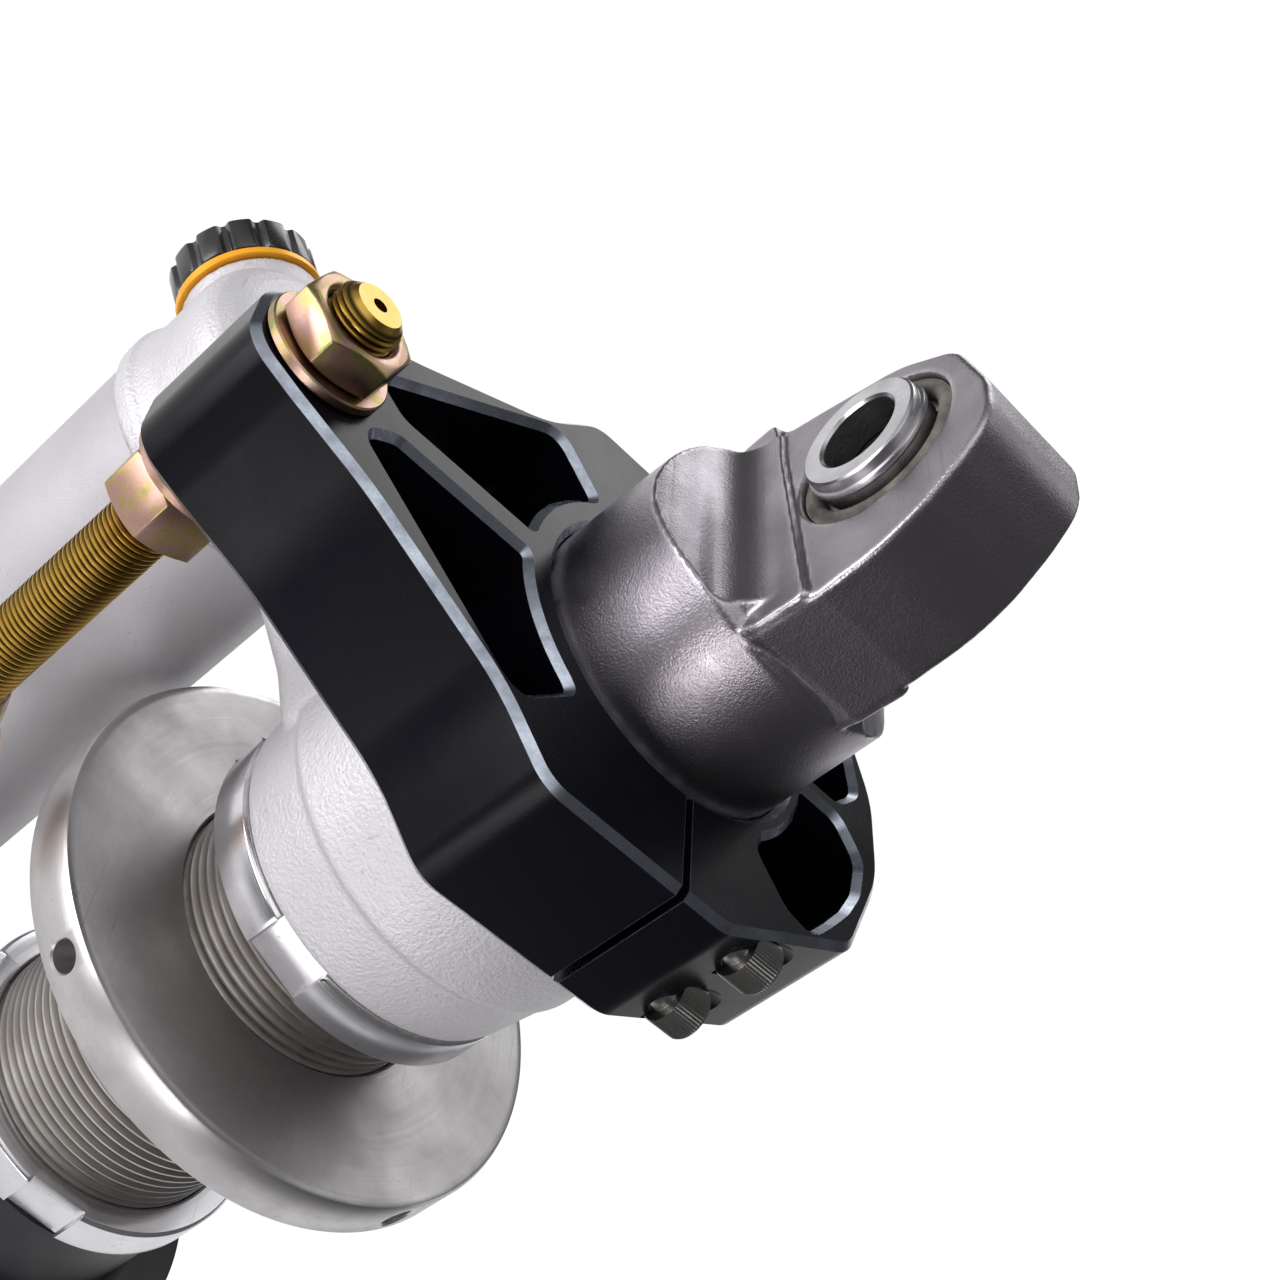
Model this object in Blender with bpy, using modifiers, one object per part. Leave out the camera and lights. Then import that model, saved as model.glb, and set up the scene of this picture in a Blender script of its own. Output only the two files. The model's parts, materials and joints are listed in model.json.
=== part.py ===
"""Reservoir coilover damper with a split clamp arm on its head.

The shock axis is world Z, +Z towards the head. The origin is the centre of the
upper eye, whose pin runs along X. The clamp arm reaches towards -X, the
reservoir stands at -X +Y. All sizes are in metres.
"""

import math

import bmesh
import bpy
from mathutils import Matrix, Vector

# ---------------------------------------------------------------- clearances
GAP = 0.0003                 # running or seating gap between two pieces
BALL_GAP = 0.0004            # spherical gap between a ball and its race

# ------------------------------------------------------------- shock layout
EYE_RISE = 0.0548            # clamp front face up to the upper eye centre
BODY_R = 0.0300              # thread crest of the damper body and clamp seat
BODY_WALL = 0.0038
BODY_BOTTOM = 0.3560         # lower end of the body, down from the eye
EYE_TO_EYE = 0.5850          # upper eye centre to lower eye centre, extended
TRAVEL = 0.1400              # shaft stroke

# --------------------------------------------------------------- upper head
PLATE_HALF = 0.01185         # half thickness of the eye plate
PLATE_TOP = 0.0227           # crown of the eye plate above the pin
SHOULDER_INSET = 0.0006      # side of the eye shoulder inside the barrel's skin
HEAD_RIM = 0.0278            # barrel rim above the clamp front face
RAMP_FOOT = 0.0222           # foot of the scooped flank above the clamp face
RIDGE_RISE = 0.0362          # ridge over the scoop above the clamp face
SPIGOT_INSET = 0.0060        # screwed end of the head inside the barrel's skin
EYE_LEAN = 0.0045             # crown of the eye plate off the pin along -Y

# ------------------------------------------------------------- eye bearings
EYE_BORE_R = 0.0158
RACE_WALL = 0.0014           # race thickness at the middle of the ball
RACE_HALF = 0.0085
BALL_HALF = 0.0095
PIN_BORE_R = 0.0075
SPACER_R = 0.0116
SPACER_COLLAR_R = 0.0122     # low collar near the foot of each spacer
SPACER_REACH = 0.0160        # outer face of a spacer from the eye centre
SEAL_SINK = 0.0003           # seal face below the face of the plate
SEAL_LIP_R = 0.0132
TILT_LIMIT = 4.0             # misalignment of the eye balls, degrees each way

# --------------------------------------------------------------- clamp pair
CLAMP_T = 0.0305
CLAMP_CHAMFER = 0.00135
CLAMP_HALF = 0.0543          # half width over the split
SPLIT_GAP = 0.0022
SPLIT_X = 0.0046             # middle of the split
POCKET_FLOOR = 0.0030
BORE_WALL = 0.0066           # wall between the seat and the lightening pockets
WEB_HALF = 0.0038            # half of the web between the pockets
ARM_TIP = 0.0131             # end of the arm beyond the rod axis
ARM_END_HALF = 0.0090        # half width of the arm's end
ARM_NECK_X = 0.0690          # where the arm turns to run out to its end
ARM_NECK_HALF = 0.0213
ARM_WAIST_X = 0.0375         # where the flank turns out to the screw boss
ARM_WAIST_HALF = 0.0405
ARM_POCKET_REACH = 0.0722    # outer end of the arm's pockets
ARM_POCKET_HALF = 0.0088
CAP_REACH = 0.0556           # nose of the cap from the shock axis
CAP_NOSE_HALF = 0.0110
CAP_FLANK_X = 0.0465         # corner where the cap's flank meets its nose
CAP_FLANK_HALF = 0.0350
CAP_WALL = 0.0042            # wall between the seat and the cap's pockets
CAP_WEB_HALF = 0.0025
CAP_POCKET_R = 0.0516        # outer wall of the cap's pockets about the shock axis
CAP_POCKET_REACH = 0.0496
ROD_X = 0.0834               # link rod axis from the shock axis
SCREW_Y = 0.0470
SCREW_R = 0.0030
SCREW_HEAD_R = 0.0051
SCREW_HEAD_H = 0.0066
SCREW_HEAD_ROOM = 0.0008
SCREW_PITCH = 0.0163         # spacing of the two screws on each side
SCREW_SEAT_X = 0.0240
SCREW_LENGTH = 0.0420

# ----------------------------------------------------------------- link rod
ROD_R = 0.00635
ROD_ABOVE = 0.0138
ROD_BELOW = 0.0955           # thread end below the clamp front face
NUT_AF = 0.0190
TOP_NUT_H = 0.0072
LOW_NUT_H = 0.0110
WASHER_R = 0.0118
WASHER_T = 0.0020
ROD_HEAD_R = 0.0167
ROD_HEAD_HALF = 0.0072
ROD_HEAD_DROP = 0.1210       # rod end ball centre below the clamp front face
ROD_BALL_R = 0.0118
ROD_BALL_HALF = 0.0090
ROD_NECK_R = 0.0098

# ------------------------------------------------------------------ housing
HOUSING_R = 0.0389
HOUSING_FOOT_R = 0.0363
HOUSING_LENGTH = 0.0443
HOUSING_STEP = 0.0277        # seam below the top of the housing
HOUSING_SHELF = 0.0187       # shelf over the end of the body
BRIDGE_T = 0.0270
BRIDGE_HALF = 0.0163         # half width of the bridge at its waist
BRIDGE_DROP = 0.0219         # middle of the bridge below the housing top

# ---------------------------------------------------------------- reservoir
RES_REACH = 0.0918           # reservoir axis from the shock axis
RES_AZIMUTH = math.radians(135.0)
RES_R = 0.02925
RES_WALL = 0.0030
RES_SEAM = 0.0357            # head seam below the housing top
RES_LENGTH = 0.1780
RES_HEAD_R = 0.0306
RES_NECK_R = 0.0288
RES_HEAD_H = 0.0325
RES_SPIGOT = 0.0090
KNOB_AZIMUTH = math.radians(120.0)
KNOB_DROP = 0.0208           # knob axis below the housing top
KNOB_R = 0.0153
KNOB_T = 0.0085
KNOB_LOBES = 13
KNOB_BOSS_R = 0.0148
KNOB_BOSS_REACH = 0.0309
DIAL_R = 0.0156
DIAL_T = 0.0017
END_CAP_H = 0.0120
FLOAT_T = 0.0180
FLOAT_DROP = 0.0500          # separator piston below the top of its tube

# ------------------------------------------------------- rings on the body
RING_WALL = 0.0063           # lock and crossover rings outside the thread
LOCK_RING_H = 0.0098
RING_SLOTS = 4
RING_SLOT_ANGLE = math.radians(20.7)
RING_SLOT_DEPTH = 0.0022
RING_SLOT_START = math.radians(243.8)
FLANGE_DROP = 0.0992         # top face of the flange below the clamp face
FLANGE_R = 0.0580
FLANGE_T = 0.0121
FLANGE_PIN_R = 0.00315
FLANGE_PINS = 4
FLANGE_PIN_START = math.radians(219.3)
CROSS_DROP = 0.1635          # crossover ring below the clamp face
CROSS_H = 0.0102

# ------------------------------------------------------------- main spring
WIRE_R = 0.0055
COIL_R = 0.0400
COIL_TURNS = 8.5
COIL_POINTS = 10             # points in each curl
COIL_END_TURNS = 0.8
COIL_END_LIFT = 0.0009       # air between a closed end and the next curl
SEAT_R = 0.0480
SLIDER_SLEEVE = 0.0302
SLIDER_WALL = 0.0042
SEAT_T = 0.0060
PILOT_L = 0.0150
PILOT_ROOM = 0.0006          # radial room of a pilot inside the spring
PERCH_DROP = 0.0550          # spring seat above the lower eye centre

# -------------------------------------------------------------------- shaft
SHAFT_R = 0.0110
STUD_R = 0.0060
PISTON_T = 0.0170
PISTON_LIFT = 0.0310         # piston foot above the lower end of the body
SHIM_T = 0.0016
SEAL_HEAD_H = 0.0210
SEAL_HEAD_LIP = 0.0057
WIPER_T = 0.0028
BUMP_H = 0.0255
BUMP_R = 0.0205
LOW_EYE_R = 0.0255
LOW_COLLAR_R = 0.0215
LOW_COLLAR_H = 0.0110
LOW_PLATE_HALF = 0.01185
SHAFT_SOCKET = 0.0135

SEGMENTS = 20
BEARING_SEGMENTS = 20
LARGE_SEGMENTS = 32

# ------------------------------------------------------------ derived levels
CLAMP_TOP = -EYE_RISE
CLAMP_BOTTOM = CLAMP_TOP - CLAMP_T
HOUSING_TOP = CLAMP_BOTTOM - GAP
HOUSING_BOTTOM = HOUSING_TOP - HOUSING_LENGTH
BODY_TOP = HOUSING_TOP - HOUSING_SHELF
BODY_BORE_R = BODY_R - BODY_WALL
SEAT_BORE_R = BODY_R + GAP
SPIGOT_R = BODY_R - SPIGOT_INSET
SHOULDER_HALF = BODY_R - SHOULDER_INSET
ARM_REACH = ROD_X + ARM_TIP
RING_R = BODY_R + RING_WALL
BALL_R = EYE_BORE_R - GAP - RACE_WALL - BALL_GAP
SEAM_Z = HOUSING_TOP - RES_SEAM
RES_X = RES_REACH * math.cos(RES_AZIMUTH)
RES_Y = RES_REACH * math.sin(RES_AZIMUTH)
RES_BORE_R = RES_R - RES_WALL
RES_TOP = SEAM_Z - GAP
RES_BOTTOM = RES_TOP - RES_LENGTH
LOCK_TOP = HOUSING_BOTTOM - GAP
FLANGE_TOP = CLAMP_TOP - FLANGE_DROP
CROSS_TOP = CLAMP_TOP - CROSS_DROP
SLIDER_TOP = CROSS_TOP - CROSS_H - GAP
SEAT_TOP = SLIDER_TOP - SLIDER_SLEEVE
COIL_TOP = SEAT_TOP - SEAT_T - GAP
LOW_EYE_Z = -EYE_TO_EYE
PERCH_TOP = LOW_EYE_Z + PERCH_DROP
COIL_BOTTOM = PERCH_TOP + GAP
COLLAR_TOP = PERCH_TOP - SEAT_T - GAP
ROD_Z = CLAMP_TOP - ROD_HEAD_DROP

parts = bpy.data.collections.new("coilover")
cutters = bpy.data.collections.new("coilover_cutters")


# ------------------------------------------------------------------ materials
def finish_of(name, colour, metallic, roughness):
    """Return a new Principled material in one colour."""
    material = bpy.data.materials.new(name)
    material.use_nodes = True
    shader = material.node_tree.nodes["Principled BSDF"]
    shader.inputs["Base Color"].default_value = (*colour, 1.0)
    shader.inputs["Metallic"].default_value = metallic
    shader.inputs["Roughness"].default_value = roughness
    return material


FINISHES = {
    "gunmetal": ((0.22, 0.21, 0.21), 0.9, 0.38),
    "black_anodised": ((0.012, 0.012, 0.016), 0.6, 0.3),
    "cast_silver": ((0.66, 0.65, 0.67), 0.7, 0.5),
    "polished": ((0.82, 0.82, 0.84), 1.0, 0.18),
    "brushed": ((0.55, 0.53, 0.53), 1.0, 0.34),
    "steel": ((0.62, 0.61, 0.60), 1.0, 0.25),
    "dark_steel": ((0.16, 0.16, 0.17), 1.0, 0.35),
    "zinc": ((0.72, 0.56, 0.24), 1.0, 0.3),
    "chrome": ((0.85, 0.85, 0.87), 1.0, 0.08),
    "rubber": ((0.06, 0.055, 0.05), 0.0, 0.75),
    "gloss_black": ((0.015, 0.015, 0.017), 0.0, 0.25),
    "orange": ((0.95, 0.45, 0.02), 0.0, 0.4),
    "bumper": ((0.75, 0.62, 0.22), 0.0, 0.6),
    "spring_coat": ((0.05, 0.05, 0.055), 0.2, 0.35),
    "ptfe": ((0.28, 0.17, 0.10), 0.0, 0.6),
}


# -------------------------------------------------------------------- helpers
def register(obj, finish=None):
    """Put an object in the model with its own material, or among the cutters."""
    if finish is None:
        cutters.objects.link(obj)
        obj.hide_render = True
        obj.display_type = "WIRE"
    else:
        parts.objects.link(obj)
        obj.data.materials.clear()
        obj.data.materials.append(finish_of(obj.name, *FINISHES[finish]))
    return obj


def aim(obj, axis, place):
    """Turn an object's local Z to a world axis and set it in place."""
    turns = {"X": (0.0, math.pi / 2, 0.0), "Y": (-math.pi / 2, 0.0, 0.0), "Z": (0.0, 0.0, 0.0)}
    obj.rotation_euler = turns[axis]
    obj.location = place
    return obj


def turned(name, profile, finish=None, axis="Z", place=(0, 0, 0), segments=SEGMENTS, phase=0.0):
    """Revolve a profile of (radius, height), listed down its outer side.

    A profile whose ends are on the axis is a solid, any other is a ring.
    """
    points = [(radius * math.cos(phase), radius * math.sin(phase), height) for radius, height in profile]
    edges = [(index, index + 1) for index in range(len(points) - 1)]
    if profile[0][0] > 1e-7:
        edges.append((len(points) - 1, 0))
    mesh = bpy.data.meshes.new(name)
    mesh.from_pydata(points, edges, [])
    obj = bpy.data.objects.new(name, mesh)
    screw = obj.modifiers.new("Revolve", "SCREW")
    screw.axis = "Z"
    screw.angle = 2 * math.pi
    screw.steps = screw.render_steps = segments
    screw.use_merge_vertices = True
    screw.merge_threshold = 0.00001
    return register(aim(obj, axis, place), finish)


def ring(name, outer, inner, top, bottom, finish=None, edge=0.0, **options):
    """A plain ring with an optional chamfer on its two outer edges."""
    outline = [(outer - edge, top), (outer, top - edge), (outer, bottom + edge), (outer - edge, bottom)]
    if edge == 0.0:
        outline = [(outer, top), (outer, bottom)]
    return turned(name, outline + [(inner, bottom), (inner, top)], finish, **options)


def disc(name, outer, top, bottom, finish=None, edge=0.0, **options):
    """A solid cylinder with an optional chamfer."""
    outline = [(0.0, top), (outer - edge, top), (outer, top - edge), (outer, bottom + edge), (outer - edge, bottom), (0.0, bottom)]
    if edge == 0.0:
        outline = [(0.0, top), (outer, top), (outer, bottom), (0.0, bottom)]
    return turned(name, outline, finish, **options)


def rounded(corners, steps=3):
    """Round the corners of a closed outline given as (x, y, radius)."""
    outline = []
    count = len(corners)
    for index, (x, y, radius) in enumerate(corners):
        corner = Vector((x, y))
        if radius <= 0.0:
            outline.append(corner)
            continue
        before = Vector(corners[index - 1][:2]) - corner
        after = Vector(corners[(index + 1) % count][:2]) - corner
        half = before.angle(after) / 2
        reach = min(radius / math.tan(half), 0.48 * before.length, 0.48 * after.length)
        true_radius = reach * math.tan(half)
        centre = corner + (before.normalized() + after.normalized()).normalized() * (true_radius / math.sin(half))
        start = corner + before.normalized() * reach - centre
        sweep = start.angle_signed(corner + after.normalized() * reach - centre)
        for step in range(steps + 1):
            turn = -sweep * step / steps
            outline.append(centre + Matrix.Rotation(turn, 2) @ start)
    return outline


def mirrored(half):
    """Close a half outline of (x, y, radius) by its mirror image in y."""
    return half + [(x, -y, radius) for x, y, radius in reversed(half)]


def arc(radius, start, end, steps):
    """Corners without radius along an arc about the origin, angles in degrees."""
    angles = [math.radians(start + (end - start) * step / steps) for step in range(steps + 1)]
    return [(radius * math.cos(angle), radius * math.sin(angle), 0.0) for angle in angles]


def to_mesh(obj, finish=None):
    """Replace a curve by the closed mesh of its evaluated shape."""
    bpy.context.scene.collection.objects.link(obj)
    bpy.context.view_layer.update()
    graph = bpy.context.evaluated_depsgraph_get()
    mesh = bpy.data.meshes.new_from_object(obj.evaluated_get(graph))
    solid = bmesh.new()
    solid.from_mesh(mesh)
    bmesh.ops.remove_doubles(solid, verts=solid.verts, dist=0.00001)
    bmesh.ops.recalc_face_normals(solid, faces=solid.faces)
    solid.to_mesh(mesh)
    solid.free()
    name = obj.name
    curve = obj.data
    place = obj.matrix_world.copy()
    bpy.data.objects.remove(obj)
    bpy.data.curves.remove(curve)
    result = bpy.data.objects.new(name, mesh)
    result.matrix_world = place
    return register(result, finish)


def plate(name, outline, thickness, finish=None, chamfer=0.0, steps=0, grow=0.0, frame=None):
    """Extrude a flat outline evenly about its plane, with its rim chamfered inside the outline."""
    curve = bpy.data.curves.new(name, "CURVE")
    curve.dimensions = "2D"
    curve.fill_mode = "BOTH"
    curve.extrude = thickness / 2 - chamfer
    curve.bevel_depth = chamfer
    curve.bevel_resolution = steps
    curve.offset = grow - chamfer
    spline = curve.splines.new("POLY")
    spline.points.add(len(outline) - 1)
    for point, corner in zip(spline.points, outline):
        point.co = (corner[0], corner[1], 0.0, 1.0)
    spline.use_cyclic_u = True
    obj = bpy.data.objects.new(name, curve)
    obj.matrix_world = frame if frame is not None else Matrix.Identity(4)
    return to_mesh(obj, finish)


def grown(outline, distance):
    """Move a closed counter-clockwise outline outwards by a distance."""
    moved = []
    for index, corner in enumerate(outline):
        before = (corner - outline[index - 1]).normalized()
        after = (outline[(index + 1) % len(outline)] - corner).normalized()
        normal = Vector((before.y + after.y, -before.x - after.x)).normalized()
        slope = max(normal.dot(Vector((after.y, -after.x))), 0.5)
        moved.append(corner + normal * distance / slope)
    return moved


def lofted(name, rings, finish=None):
    """Skin equal outlines at rising heights, each ring (outline, height)."""
    solid = bmesh.new()
    rows = [[solid.verts.new((x, y, z)) for x, y in outline] for outline, z in rings]
    count = len(rows[0])
    for low, high in zip(rows, rows[1:]):
        for index in range(count):
            step = (index + 1) % count
            solid.faces.new((low[index], low[step], high[step], high[index]))
    solid.faces.new(rows[-1])
    solid.faces.new(list(reversed(rows[0])))
    bmesh.ops.recalc_face_normals(solid, faces=solid.faces)
    mesh = bpy.data.meshes.new(name)
    solid.to_mesh(mesh)
    solid.free()
    return register(bpy.data.objects.new(name, mesh), finish)


def box(name, size, place, turn=0.0, finish=None):
    """A box with its size in the mesh."""
    bpy.ops.mesh.primitive_cube_add(size=1.0)
    obj = bpy.context.object
    obj.name = name
    obj.data.transform(Matrix.Diagonal((*size, 1.0)))
    obj.location = place
    obj.rotation_euler = (0.0, 0.0, turn)
    for collection in list(obj.users_collection):
        collection.objects.unlink(obj)
    return register(obj, finish)


def fuse(target, tool, operation="DIFFERENCE"):
    """Add a Boolean modifier to a target."""
    modifier = target.modifiers.new(tool.name, "BOOLEAN")
    modifier.operation = operation
    modifier.solver = "EXACT"
    modifier.object = tool
    return target


def ball_arc(radius, half, steps=4):
    """Points (radius, height) down the outside of a ball cut flat at both ends."""
    limit = math.asin(half / radius)
    angles = [limit - 2 * limit * step / steps for step in range(steps + 1)]
    return [(radius * math.cos(angle), radius * math.sin(angle)) for angle in angles]


def upright(x=0.0, y=0.0, z=0.0):
    """Frame of an outline drawn in (Y, Z) and extruded along X."""
    return Matrix.Translation((x, y, z)) @ Matrix(((0, 0, 1, 0), (1, 0, 0, 0), (0, 1, 0, 0), (0, 0, 0, 1)))


def sideways(x=0.0, y=0.0, z=0.0):
    """Frame of an outline drawn in (X, Z) and extruded along Y."""
    return Matrix.Translation((x, y, z)) @ Matrix(((1, 0, 0, 0), (0, 0, -1, 0), (0, 1, 0, 0), (0, 0, 0, 1)))


def nut(name, across_flats, bore, top, bottom, finish, x=0.0, y=0.0, turn=0.0):
    """Hexagon nut with both faces turned down at the corners."""
    corner = across_flats / math.sqrt(3)
    height = top - bottom
    mesh = bpy.data.meshes.new(name)
    solid = bmesh.new()
    bmesh.ops.create_cone(solid, cap_ends=True, segments=6, radius1=corner, radius2=corner, depth=height)
    solid.to_mesh(mesh)
    solid.free()
    obj = bpy.data.objects.new(name, mesh)
    obj.location = (x, y, (top + bottom) / 2)
    obj.rotation_euler = (0.0, 0.0, turn)
    register(obj, finish)
    drop = 0.4 * (corner - across_flats / 2) + 0.0004
    crown = [(0.0, top + 0.0001), (across_flats * 0.47, top + 0.0001), (corner * 1.01, top - drop),
             (corner * 1.01, bottom + drop), (across_flats * 0.47, bottom - 0.0001), (0.0, bottom - 0.0001)]
    fuse(obj, turned(name + "_crown", crown, place=(x, y, 0), segments=18, phase=0.11), "INTERSECT")
    fuse(obj, disc(name + "_bore", bore, top + 0.01, bottom - 0.01, place=(x, y, 0), segments=16))
    return obj


def slots(target, radius, depth, count, width, start, top, bottom, name):
    """Cut flat-bottomed slots across the outside of a ring."""
    size = 2 * radius * math.sin(width / 2)
    for index in range(count):
        angle = start + index * 2 * math.pi / count
        reach = radius - depth + 0.01
        tool = box(f"{name}_{index}", (0.02, size, top - bottom + 0.02),
                   (reach * math.cos(angle), reach * math.sin(angle), (top + bottom) / 2), angle)
        fuse(target, tool)


# ---------------------------------------------------------------- eye bearing
def eye_bearing(prefix, z, plate_half):
    """Race, ball, clips, seals and spacers of one spherical eye bearing."""
    outer = EYE_BORE_R - GAP
    race = ball_arc(BALL_R + BALL_GAP, RACE_HALF, 6)
    turned(prefix + "_race", [(outer, RACE_HALF), (outer, -RACE_HALF)] + list(reversed(race)),
           "steel", axis="X", place=(0, 0, z), segments=BEARING_SEGMENTS)
    turned(prefix + "_ball", ball_arc(BALL_R, BALL_HALF) + [(PIN_BORE_R, -BALL_HALF), (PIN_BORE_R, BALL_HALF)],
           "chrome", axis="X", place=(0, 0, z), segments=BEARING_SEGMENTS)
    seal_in = RACE_HALF + GAP
    seal_out = plate_half - SEAL_SINK
    foot = BALL_HALF + GAP
    collar = plate_half + 0.0010
    seal = [(outer, seal_out), (outer, seal_in), (SEAL_LIP_R, seal_in), (SEAL_LIP_R, seal_out)]
    spacer = [(SPACER_R, SPACER_REACH), (SPACER_R, collar + 0.0012), (SPACER_COLLAR_R, collar + 0.0008), (SPACER_COLLAR_R, collar),
              (SPACER_R, collar - 0.0004), (SPACER_R, foot), (PIN_BORE_R, foot), (PIN_BORE_R, SPACER_REACH)]
    for side, sign in (("left", -1), ("right", 1)):
        for part, profile, finish in (("seal", seal, "rubber"), ("spacer", spacer, "steel")):
            if sign < 0:
                profile = [(radius, -height) for radius, height in reversed(profile)]
            turned(f"{prefix}_{part}_{side}", profile, finish, axis="X", place=(0, 0, z), segments=BEARING_SEGMENTS)


# ----------------------------------------------------------------- upper head
def upper_head():
    """Round barrel that rises through scooped flanks into the flat eye plate."""
    rim = CLAMP_TOP + HEAD_RIM
    ridge = CLAMP_TOP + RIDGE_RISE
    foot = CLAMP_TOP + RAMP_FOOT
    spigot_end = BODY_TOP + GAP
    head = turned("upper_eye_head", [
        (0.0, ridge), (BODY_R - 0.0036, ridge), (BODY_R - 0.0030, rim + 0.0006), (BODY_R - 0.0012, rim - 0.0002), (BODY_R, rim - 0.0020),
        (BODY_R, CLAMP_BOTTOM), (SPIGOT_R, CLAMP_BOTTOM), (SPIGOT_R, spigot_end), (0.0, spigot_end)], "gunmetal", segments=LARGE_SEGMENTS)
    # Each flank runs in over the barrel as a shelf, sweeps up through a hollow and ends at the ridge.
    reach = BODY_R + 0.002
    shelf = [(reach, foot - 0.0006), (BODY_R * 0.86, foot + 0.0024), (PLATE_HALF + 0.0090, foot + 0.0038)]
    deep = RIDGE_RISE - RAMP_FOOT
    sweep = [(PLATE_HALF + 0.0012 + 0.0075 * (1 - math.sin(math.radians(a))), ridge - 0.0004 - (deep - 0.0044) * math.cos(math.radians(a)))
             for a in range(5, 91, 17)]
    top = PLATE_TOP + 0.01
    for sign, side in ((1, "right"), (-1, "left")):
        line = shelf + sweep + [(PLATE_HALF + 0.0006, ridge + 0.001), (PLATE_HALF + 0.0006, top), (reach, top)]
        fuse(head, plate(f"flank_{side}", [(sign * x, z) for x, z in line], 4 * BODY_R, frame=sideways()))
    shoulder = rim - 0.0004
    side = SHOULDER_HALF
    # The eye leans to -Y, where the shoulder stands higher than on the far side.
    outline = rounded([
        (-EYE_LEAN, PLATE_TOP, 0.012), (0.0108, PLATE_TOP - 0.0046, 0.010), (0.0190, 0.0068, 0.020), (0.0238, -0.0105, 0.020), (0.0256, ridge + 0.0008, 0.004),
        (side - 0.0010, ridge - 0.0010, 0.002), (side - 0.0008, shoulder + 0.0006, 0.002), (0.0265, shoulder - 0.0050, 0.0), (0.0200, shoulder - 0.0100, 0.0),
        (-0.0200, shoulder - 0.0100, 0.0), (-0.0265, shoulder - 0.0050, 0.0), (-side + 0.0008, shoulder + 0.0020, 0.002), (-side, ridge + 0.0062, 0.020),
        (-0.0288, -0.0004, 0.030), (-0.0259, 0.0076, 0.020), (-0.0204, 0.0160, 0.020), (-EYE_LEAN - 0.0100, PLATE_TOP - 0.0010, 0.006), (-EYE_LEAN - 0.0070, PLATE_TOP, 0.006)], 3)
    fuse(head, plate("eye_plate", outline, 2 * PLATE_HALF, chamfer=0.0006, frame=upright()), "UNION")
    block = rounded([(side - 0.0002, ridge - 0.0012, 0.0015), (side - 0.0010, shoulder + 0.0006, 0.002), (0.0262, shoulder - 0.0042, 0.0),
                     (-0.0262, shoulder - 0.0042, 0.0), (-side + 0.0010, shoulder + 0.0024, 0.002), (-side + 0.0002, ridge + 0.0042, 0.0015)], 2)
    fuse(head, plate("eye_shoulder", block, 2 * PLATE_HALF + 0.0026, chamfer=0.0010, frame=upright()), "UNION")
    fuse(head, disc("upper_eye_bore", EYE_BORE_R, 0.05, -0.05, axis="X", segments=BEARING_SEGMENTS))
    # Grease passage drilled in the crown.
    fuse(head, disc("crown_hole", 0.0016, PLATE_TOP + 0.01, PLATE_TOP - 0.0045, segments=10))
    eye_bearing("upper", 0.0, PLATE_HALF)
    return head


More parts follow.
